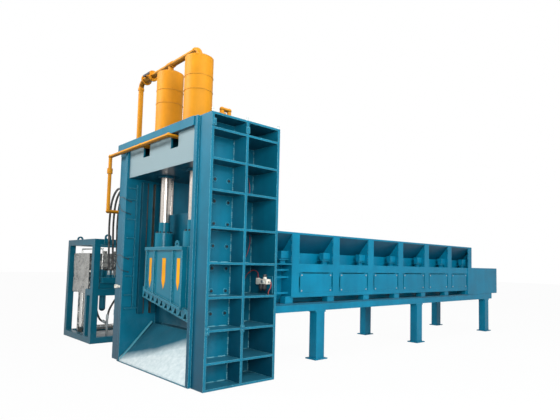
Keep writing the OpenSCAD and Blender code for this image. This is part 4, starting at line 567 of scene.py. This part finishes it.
# Main cylinders and all yellow pipes: heavy welded tube in warm yellow enamel, flanged to the top plate.
# The cylinder feet below the crosshead are teal, as they were sprayed with the gantry.
yellow_coat = enamel("yellow_coat", (0.68, 0.275, 0.012, 1), (0.66, 0.42, 0.12, 1),
                     wear_highlight=0.35, dusting=0.05, gloss=0.46, coat=0.0)
cylinder_foot_z = 3.03
riser_side_x = -1.2
yellow_tree, yellow_axes = axes_in(yellow_coat)
foot_mask = calc(yellow_tree, "MULTIPLY", calc(yellow_tree, "LESS_THAN", yellow_axes["Z"], cylinder_foot_z),
                 calc(yellow_tree, "GREATER_THAN", yellow_axes["X"], riser_side_x))
repaint(yellow_coat, foot_mask, (0.004, 0.060, 0.095, 1))
coat_nodes(yellow_coat, "main_cylinder_right", "main_cylinder_left", "top_pipe", "pipe_valve", "front_pipe",
           "rear_pipe", "hold_down_cylinders")
coat_nodes(black_steel, "valve_lever")
coat_nodes(gantry_teal, "pipe_manifold")

# Flange bolts of the pipe valve and of the square cylinder flanges: steel bolts with hexagon heads,
# painted yellow with the rest.
pipe_axis_y, pipe_axis_z = 0.360, 4.865
valve_circle_r = 0.082
flange_corner = 0.19
flange_top_z = 3.650
flange_head_h = 0.022
flange_bm = bmesh.new()
for i in range(8):
    a = math.radians(22.5 + 45 * i)
    y, z = pipe_axis_y + valve_circle_r * math.cos(a), pipe_axis_z + valve_circle_r * math.sin(a)
    for x0, x1 in ((-1.352, -1.302), (-1.108, -1.058)):
        bar(flange_bm, (x0, y, z), (x1, y, z), 0.0085, 6)
for x in (-rod_x, rod_x):
    for dx in (-flange_corner, flange_corner):
        for dy in (-flange_corner, flange_corner):
            place = (x + dx, rod_y + dy)
            bar(flange_bm, (*place, flange_top_z), (*place, flange_top_z + flange_head_h), 0.024, 6)
piece("flange_bolts", flange_bm, yellow_coat, smooth=30)

# Hold-down beam behind the knife: a hollow beam welded from plate, hung on two chrome rods. It has the
# same dark paint as the rails.
coat_nodes(rail_paint, "hold_down_beam")

# Feed trough: flared plate walls on welded posts, with screwed covers, on base beams and six legs. Its
# teal is stronger and cleaner than the coat of the gantry.
trough_teal = enamel("trough_teal", (0.001, 0.195, 0.330, 1), (0.05, 0.40, 0.54, 1),
                     wear_highlight=0.5, dusting=0.04, gloss=0.32, coat=0.04)
# A darker copy of the trough teal for the trough floor and the push head inside it: painted shade.
trough_shade_teal = enamel("trough_shade_teal", (0.002, 0.110, 0.185, 1), (0.10, 0.30, 0.40, 1),
                     wear_highlight=0.5, dusting=0.2, gloss=0.34, coat=0.1)
coat_nodes(trough_teal, "trough_side_right", "trough_side_left", "trough_covers", "anchor_blocks",
           "base_beams", "trough_legs", "end_box", "end_box_lid")
coat_nodes(trough_shade_teal, "trough_floor")
coat_nodes(zinc, "cover_screws")

# Fillet welds of the trough frame: the posts to the flared walls, and the posts to the base beams. Beads
# as laid, painted over.
first_post_y = 2.046
post_pitch = 1.0145
post_side_x = 0.767
floor_edge_x, floor_top_z = 0.66, 0.987
trough_weld_bm = bmesh.new()
for sign in (-1, 1):
    for i in range(7):
        y = first_post_y + post_pitch * i
        weld_run(trough_weld_bm, (sign * post_side_x, y, 1.66), (sign * post_side_x, y, 2.12), flat_pitch)
        if i < 6:
            weld_run(trough_weld_bm, (sign * floor_edge_x, y - 0.112, floor_top_z),
                     (sign * floor_edge_x, y + 0.05, floor_top_z), flat_pitch)
piece("trough_welds", trough_weld_bm, trough_teal, smooth=60)

# Push head and telescopic feed cylinder inside the trough: a plate box pushed by turned and chromed tubes
# that slide out of each other. The barrel is bolted into the end box.
stage_steel = metal("stage_steel", (0.62, 0.62, 0.61, 1), (0.30, 0.27, 0.22, 1),
                    staining=0.3, smoothness=0.12, grain=60.0)
# The push head takes the darker trough teal: painted shade.
coat_nodes(trough_shade_teal, "push_head")
coat_nodes(rail_paint, "feed_barrel")
coat_nodes(stage_steel, "feed_stage_1", "feed_stage_2", "feed_stage_3", "feed_rod")

# Power unit frame: square steel tube, welded and painted teal, with lifting eyes. The drip tray in its
# foot is dull galvanised sheet.
unit_teal = enamel("unit_teal", (0.002, 0.125, 0.195, 1), (0.14, 0.38, 0.46, 1),
                   wear_highlight=0.9, dusting=0.10, gloss=0.32, coat=0.10)
deck_plate = metal("deck_plate", (0.30, 0.33, 0.34, 1), (0.10, 0.10, 0.09, 1),
                   staining=0.6, smoothness=0.45, grain=30.0, metallic=0.6)
coat_nodes(unit_teal, "unit_frame", "valve_block")
coat_nodes(deck_plate, "unit_tray")

# Oil tank: a steel box on legs, wrapped in a crinkled foil jacket. The pipes on it are bare stainless
# tube.


def crinkle_group():
    group, given, made = node_group("crinkled_foil", [
        ("Foil", "NodeSocketColor", (0.27, 0.27, 0.255, 1)),
        ("Crease Shade", "NodeSocketColor", (0.12, 0.12, 0.11, 1)),
        ("Folds", "NodeSocketFloat", 7.0)],
        [("Colour", "NodeSocketColor"), ("Roughness", "NodeSocketFloat"), ("Height", "NodeSocketFloat")])
    place = group.nodes.new("ShaderNodeTexCoord")
    cells = group.nodes.new("ShaderNodeTexVoronoi")
    cells.feature = "DISTANCE_TO_EDGE"
    facets = group.nodes.new("ShaderNodeTexVoronoi")
    facets.feature = "F1"
    facets.inputs["Scale"].default_value = 15.0
    group.links.new(given.outputs["Folds"], cells.inputs["Scale"])
    bend = group.nodes.new("ShaderNodeVectorMath")
    bend.operation = "MULTIPLY_ADD"
    warp = group.nodes.new("ShaderNodeTexNoise")
    warp.inputs["Scale"].default_value = 5.0
    group.links.new(place.outputs["Object"], warp.inputs["Vector"])
    group.links.new(warp.outputs["Color"], bend.inputs[0])
    bend.inputs[1].default_value = (0.25, 0.25, 0.25)
    group.links.new(place.outputs["Object"], bend.inputs[2])
    group.links.new(bend.outputs[0], cells.inputs["Vector"])
    group.links.new(bend.outputs[0], facets.inputs["Vector"])
    # The creases of the foil are coloured darker: painted shade.
    crease_shade = fade(group, cells.outputs["Distance"], 0.10, 0.0)
    tone = fade(group, cloud(group, place.outputs["Object"], 5.0, 5.0, 0.6), 0.35, 0.68)
    base = tint(group, tone, given.outputs["Foil"], (0.44, 0.44, 0.42, 1))
    group.links.new(tint(group, calc(group, "MULTIPLY", crease_shade, 0.30), base, given.outputs["Crease Shade"]),
                    made.inputs["Colour"])
    group.links.new(calc(group, "MULTIPLY_ADD", tone, 0.25, offset=0.18), made.inputs["Roughness"])
    folds = calc(group, "ADD", calc(group, "MULTIPLY", cells.outputs["Distance"], 0.8),
                 calc(group, "MULTIPLY", facets.outputs["Distance"], 0.7))
    group.links.new(folds, made.inputs["Height"])
    return group


crinkled_foil = crinkle_group()
foil = finish_of("foil", crinkled_foil, {}, bump=0.8, bump_size=0.020, Metallic=0.92)
stainless = metal("stainless", (0.58, 0.58, 0.56, 1), (0.25, 0.22, 0.18, 1),
                  staining=0.35, smoothness=0.20, grain=60.0)
coat_nodes(foil, "oil_tank")
coat_nodes(stainless, "tank_pipes")
jacket_bm = bmesh.new()
tank_low, tank_high = Vector((-4.193, 0.247, 0.957)), Vector((-3.307, 1.203, 1.763))
tank_size = tank_high - tank_low
bmesh.ops.create_cube(jacket_bm, size=1, matrix=Matrix.Translation((tank_low + tank_high) / 2)
                      @ Matrix.Diagonal((*tank_size, 1)))
bmesh.ops.subdivide_edges(jacket_bm, edges=jacket_bm.edges[:], cuts=34, use_grid_fill=True)
jacket_bm.normal_update()
for vert in jacket_bm.verts:
    spot = vert.co * 6.5
    fold = abs(noise.noise(spot)) + 0.5 * abs(noise.noise(spot * 2.3 + Vector((3, 1, 7))))
    vert.co += vert.normal * (0.010 - 0.016 * min(fold, 0.6))
piece("tank_jacket", jacket_bm, foil, smooth=22)

# Hydraulic hoses: wire-braided rubber, 40 mm over the cover, from the manifold on the left column down to
# the valve block, and three more inside the power unit. Crimped steel ferrules and nuts end each one.


def braid_group():
    group, given, made = node_group("braid_and_dust", [
        ("Cover", "NodeSocketColor", (0.02, 0.02, 0.022, 1)),
        ("Dust", "NodeSocketColor", (0.2, 0.2, 0.19, 1)),
        ("Turns", "NodeSocketFloat", 90.0)],
        [("Colour", "NodeSocketColor"), ("Roughness", "NodeSocketFloat"), ("Height", "NodeSocketFloat")])
    place = group.nodes.new("ShaderNodeTexCoord")
    wrap = group.nodes.new("ShaderNodeTexWave")
    wrap.wave_type = "BANDS"
    wrap.bands_direction = "DIAGONAL"
    wrap.inputs["Distortion"].default_value = 0.6
    group.links.new(given.outputs["Turns"], wrap.inputs["Scale"])
    group.links.new(place.outputs["Object"], wrap.inputs["Vector"])
    dust = fade(group, cloud(group, place.outputs["Object"], 9.0, 5.0), 0.48, 0.8)
    group.links.new(tint(group, dust, given.outputs["Cover"], given.outputs["Dust"]), made.inputs["Colour"])
    group.links.new(calc(group, "MULTIPLY_ADD", dust, 0.35, offset=0.42), made.inputs["Roughness"])
    group.links.new(wrap.outputs["Fac"], made.inputs["Height"])
    return group


braid_and_dust = braid_group()
hose_rubber = finish_of("hose_rubber", braid_and_dust, {}, bump=0.5, bump_size=0.002)
hose_d = 0.040


def hose_curve(name, points, width, sides=5, steps=8):
    line = bpy.data.curves.new(name, "CURVE")
    line.dimensions = "3D"
    line.bevel_depth = width / 2
    line.bevel_resolution = sides
    line.resolution_u = steps
    line.use_fill_caps = True
    spline = line.splines.new("BEZIER")
    spline.bezier_points.add(len(points) - 1)
    for i, knot in enumerate(spline.bezier_points):
        before = Vector(points[max(i - 1, 0)])
        after = Vector(points[min(i + 1, len(points) - 1)])
        slope = (after - before) / 2
        knot.handle_left_type = "FREE"
        knot.handle_right_type = "FREE"
        knot.co = points[i]
        knot.handle_left = Vector(points[i]) - slope / 3
        knot.handle_right = Vector(points[i]) + slope / 3
    hose = bpy.data.objects.new(name, line)
    scene.collection.objects.link(hose)
    return hose


unit_hose_route = [(-1.820, 2.910), (-2.160, 2.960), (-2.500, 2.770), (-2.750, 2.400), (-2.850, 1.980),
                   (-2.868, 1.620)]
unit_hose_drift = [0, 0, 0.040, 0.110, 0.160, 0.180]
unit_hose_parts = []
for i, shift in enumerate((-0.08, 0.0, 0.08)):
    y = 0.360 + shift
    points = [(-1.640, y, 2.910)]
    points += [(x, y + drift, z) for (x, z), drift in zip(unit_hose_route, unit_hose_drift)]
    points += [(-2.868, 0.552 + shift, 1.342)]
    hose = hose_curve(f"unit_hose_{i + 1}", points, hose_d)
    hose.data.materials.append(hose_rubber)
    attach(hose, "machine")
    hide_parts("unit_hoses")
    unit_hose_parts.append(points)
inner_hose_routes = {
    "tee_hose": [(-3.460, 0.460, 0.960), (-3.450, 0.460, 0.800), (-3.390, 0.470, 0.600),
                 (-3.280, 0.500, 0.430), (-3.162, 0.580, 0.360)],
    "oil_hose": [(-3.100, 0.580, 0.450), (-3.085, 0.605, 0.620), (-3.070, 0.680, 0.780),
                 (-3.085, 0.775, 0.910), (-3.150, 0.855, 0.993), (-3.260, 0.900, 1.020)],
    "pump_hose": [(-3.820, 1.450, 0.360), (-3.820, 1.450, 0.520), (-3.740, 1.430, 0.760),
                  (-3.520, 1.360, 0.960), (-3.280, 1.230, 1.110), (-3.130, 1.000, 1.170),
                  (-3.080, 0.750, 1.177)]}
for name, points in inner_hose_routes.items():
    hose = hose_curve(name, points, hose_d)
    hose.data.materials.append(hose_rubber)
    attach(hose, "machine")
    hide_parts("pump_hoses")

# Hose ends: crimped steel ferrules with hexagon nuts, galvanised, screwed on the manifold, the tank, the
# pump and the valve block.
ferrule_bm = bmesh.new()


def hose_end(bm, start, way):
    start, way = Vector(start), Vector(way).normalized()
    bar(bm, start, start + way * 0.030, 0.031, 6)
    bar(bm, start + way * 0.030, start + way * 0.085, 0.0255, 20)
    for ring in (0.040, 0.055, 0.070):
        bar(bm, start + way * ring, start + way * (ring + 0.006), 0.0275, 20)


for points in unit_hose_parts:
    hose_end(ferrule_bm, points[0], (-1, 0, 0.1))
    hose_end(ferrule_bm, points[-1], (0, -0.02, 1))
hose_end(ferrule_bm, (-3.460, 0.460, 0.955), (0.03, 0, -1))
hose_end(ferrule_bm, (-3.162, 0.580, 0.360), (-0.7, -0.45, 0.45))
hose_end(ferrule_bm, (-3.100, 0.580, 0.450), (0, 0.05, 1))
hose_end(ferrule_bm, (-3.260, 0.900, 1.020), (0.9, -0.1, -0.25))
hose_end(ferrule_bm, (-3.820, 1.450, 0.360), (0, 0, 1))
hose_end(ferrule_bm, (-3.080, 0.750, 1.177), (-0.12, 1, 0))
piece("hose_ferrules", ferrule_bm, zinc, smooth=30)

# Plugs of the valve block: black moulded covers over the coils of the three solenoid valves, each with a
# cable gland, held by one screw.


def slab(bm, low, high):
    low, high = Vector(low), Vector(high)
    bmesh.ops.create_cube(bm, size=1, matrix=Matrix.Translation((low + high) / 2)
                          @ Matrix.Diagonal((*(high - low), 1)))


def rounded(bm, width):
    bmesh.ops.bevel(bm, geom=bm.edges[:], offset=width, offset_type="OFFSET", affect="EDGES",
                    segments=2, profile=0.5, material=-1)


black_plastic = finish_of("black_plastic", braid_and_dust, {
    "Cover": (0.018, 0.019, 0.021, 1), "Dust": (0.09, 0.09, 0.09, 1), "Turns": 3.0},
    bump=0.05, bump_size=0.0005)
first_valve_y = 0.350
valve_pitch = 0.100
plug_bm = bmesh.new()
for i in range(3):
    y = first_valve_y + valve_pitch * i
    slab(plug_bm, (-3.222, y + 0.006, 1.4215), (-3.168, y + 0.074, 1.450))
    slab(plug_bm, (-3.140, y + 0.014, 1.4215), (-3.092, y + 0.066, 1.440))
rounded(plug_bm, 0.006)
for i in range(3):
    y = first_valve_y + valve_pitch * i
    bar(plug_bm, (-3.195, y + 0.040, 1.449), (-3.195, y + 0.040, 1.470), 0.012, 16, 0.009)
piece("solenoid_plugs", plug_bm, black_plastic, smooth=35)

# Pump and motor: cast iron bodies in machine teal, bolted to the tray. The motor has cooling fins cast
# round its shell, but for the place of its terminal box.
cast_teal = enamel("cast_teal", (0.020, 0.110, 0.160, 1), (0.16, 0.26, 0.30, 1),
                   wear_highlight=0.5, dusting=0.3, gloss=0.42, coat=0.0)
coat_nodes(cast_teal, "oil_pump", "pump_motor")
coat_nodes(tool_steel, "motor_shaft")
motor_centre = (-3.335, 1.45, 0.20)
fin_size = (0.400, 0.022, 0.004)
fin_out = 0.150
fin_bm = bmesh.new()
for i in range(27):
    a = math.radians(-22 + i * 224 / 26)
    if 62 < math.degrees(a) < 118:  # the terminal box sits here
        continue
    spread = Matrix.Translation(motor_centre) @ Matrix.Rotation(a, 4, "X")
    bmesh.ops.create_cube(fin_bm, size=1, matrix=spread @ Matrix.Translation((0, fin_out, 0))
                          @ Matrix.Diagonal((*fin_size, 1)))
piece("motor_fins", fin_bm, cast_teal)

# Air service unit in the right column: a cream plastic valve and body on a painted plate, with two dark
# bowls, a regulator knob and a small gauge, screwed to the rear flange.
cream = finish_of("cream_plastic", braid_and_dust, {
    "Cover": (0.82, 0.79, 0.70, 1), "Dust": (0.55, 0.52, 0.44, 1), "Turns": 2.0},
    bump=0.05, bump_size=0.0005)
air_y, air_z = 1.089, 1.3725
filter_x, regulator_x = 1.16125, 1.24625
air_bm = bmesh.new()
slab(air_bm, (1.105, 1.050, 1.3375), (1.330, 1.128, 1.4075))
slab(air_bm, (1.062, 1.070, 1.3255), (1.104, 1.128, 1.4195))
rounded(air_bm, 0.005)
bar(air_bm, (1.33, air_y, air_z), (1.365, air_y, air_z), 0.016, 20)
bar(air_bm, (regulator_x, air_y, 1.4075), (regulator_x, air_y, 1.4495), 0.030, 28, 0.024)
air_body = piece("air_body", air_bm, cream, smooth=35)
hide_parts("air_unit")
plate_bm = bmesh.new()
slab(plate_bm, (1.050, 1.128, 1.200), (1.370, 1.140, 1.450))
rounded(plate_bm, 0.003)
air_plate = piece("air_plate", plate_bm, gantry_teal, smooth=35)
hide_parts("air_unit")
bowl_bm = bmesh.new()
for x in (filter_x, regulator_x):
    bar(bowl_bm, (x, air_y, 1.337), (x, air_y, 1.322), 0.033, 28)
    bar(bowl_bm, (x, air_y, 1.322), (x, air_y, 1.268), 0.030, 28, 0.028)
    bar(bowl_bm, (x, air_y, 1.268), (x, air_y, 1.240), 0.028, 28, 0.010)
    for k in range(12):
        a = math.radians(30 * k)
        place = Vector((x + 0.0305 * math.cos(a), air_y + 0.0305 * math.sin(a), 1.296))
        bar(bowl_bm, place + Vector((0, 0, -0.024)), place + Vector((0, 0, 0.024)), 0.0025, 6)
piece("air_bowls", bowl_bm, black_plastic, smooth=35)
coat_nodes(black_plastic, "regulator_knob")
gauge_bm = bmesh.new()
bar(gauge_bm, (regulator_x, 1.050, air_z), (regulator_x, 1.030, air_z), 0.022, 28)
piece("air_gauge", gauge_bm, zinc, smooth=30)

# Thin service lines: two black loops clipped round the left jamb, two red air tubes at the air unit, and
# three loose red wires that hang or lie in the bays of the right column. Soft plastic, 10 mm or less.
line_plastic = finish_of("black_line", braid_and_dust, {"Turns": 20.0}, bump=0.1, bump_size=0.0005)
red_plastic = finish_of("red_line", braid_and_dust, {
    "Cover": (0.42, 0.022, 0.02, 1), "Dust": (0.32, 0.10, 0.08, 1), "Turns": 20.0},
    bump=0.1, bump_size=0.0005)
line_d = 0.010
wire_d = 0.008
loop_shape = [(-1.008, 0.020, 0.004), (-1.006, -0.050, 0.030), (-1.060, -0.080, 0.062),
              (-1.160, -0.080, 0.066), (-1.226, -0.072, 0.0), (-1.190, -0.070, -0.080),
              (-1.090, -0.080, -0.150), (-1.014, -0.070, -0.180), (-1.006, 0.010, -0.204)]
thin_routes = {}
for i, height in enumerate((2.610, 1.655)):
    route = [(-1.028, 0.050, height)] + [(x, y, height + z) for x, y, z in loop_shape]
    thin_routes[f"jamb_line_{i + 1}"] = route + [(-1.028, 0.050, height - 0.210)]
thin_routes["air_tube_1"] = [(1.0895, 1.089, 1.4195), (1.082, 1.085, 1.500), (1.010, 1.050, 1.530),
                             (0.930, 1.010, 1.470), (0.880, 1.000, 1.392), (0.852, 1.000, 1.380)]
thin_routes["air_tube_2"] = [(1.365, 1.089, 1.3725), (1.386, 1.088, 1.356), (1.390, 1.080, 1.300),
                             (1.370, 1.060, 1.240), (1.368, 1.058, 1.200)]
thin_routes["bay_wire_1"] = [(0.845, 0.980, 2.940), (0.890, 0.985, 2.935), (0.935, 1.000, 2.820),
                             (0.930, 1.010, 2.690), (0.890, 1.006, 2.610), (0.845, 1.005, 2.600)]
thin_routes["bay_wire_2"] = [(0.845, 1.040, 2.080), (0.900, 1.048, 2.070), (0.955, 1.025, 1.950),
                             (0.940, 1.000, 1.800), (0.890, 0.990, 1.710), (0.845, 0.990, 1.700)]
thin_routes["bay_wire_3"] = [(1.115, 0.400, 3.020), (1.160, 0.410, 3.009), (1.230, 0.450, 3.009),
                             (1.240, 0.510, 3.009), (1.180, 0.545, 3.009), (1.115, 0.550, 3.020)]
for name, points in thin_routes.items():
    width = wire_d if name.startswith("bay") else line_d
    thread = hose_curve(name, points, width, 3, 6)
    thread.data.materials.append(line_plastic if name.startswith("jamb") else red_plastic)
    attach(thread, "machine")
    if not name.startswith("bay"):
        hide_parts("service_lines")

# Grommets: black rubber bushes pressed in where the thin lines enter the steel. The conduit stub is pale
# corrugated plastic in a clip on the left column.
grommet_bm = bmesh.new()
grommet_r = 0.012
grommet_neck_r = 0.009
for x, y, z in ((-1.040, 0.050, 2.610), (-1.040, 0.050, 2.400), (-1.040, 0.050, 1.655),
                (-1.040, 0.050, 1.445), (0.840, 1.000, 1.380), (0.840, 0.980, 2.940),
                (0.840, 1.005, 2.600), (0.840, 1.040, 2.080), (0.840, 0.990, 1.700),
                (1.110, 0.400, 3.020), (1.110, 0.550, 3.020)):
    bar(grommet_bm, (x, y, z), (x + 0.012, y, z), grommet_r, 20, grommet_neck_r)
bar(grommet_bm, (1.368, 1.058, 1.188), (1.368, 1.058, 1.200), grommet_r, 20, grommet_neck_r)
piece("grommets", grommet_bm, black_plastic, smooth=35)
conduit_y, conduit_z = -0.0183, 1.200
conduit_bm = bmesh.new()
bar(conduit_bm, (-1.360, conduit_y, conduit_z), (-1.120, conduit_y, conduit_z), 0.0178, 24)
for i in range(11):
    x = -1.352 + 0.022 * i
    bar(conduit_bm, (x, conduit_y, conduit_z), (x + 0.008, conduit_y, conduit_z), 0.0195, 24)
slab(conduit_bm, (-1.320, -0.048, 1.170), (-1.280, 0.0, 1.230))
conduit = piece("conduit_stub", conduit_bm, cream, smooth=35)
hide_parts("service_lines")
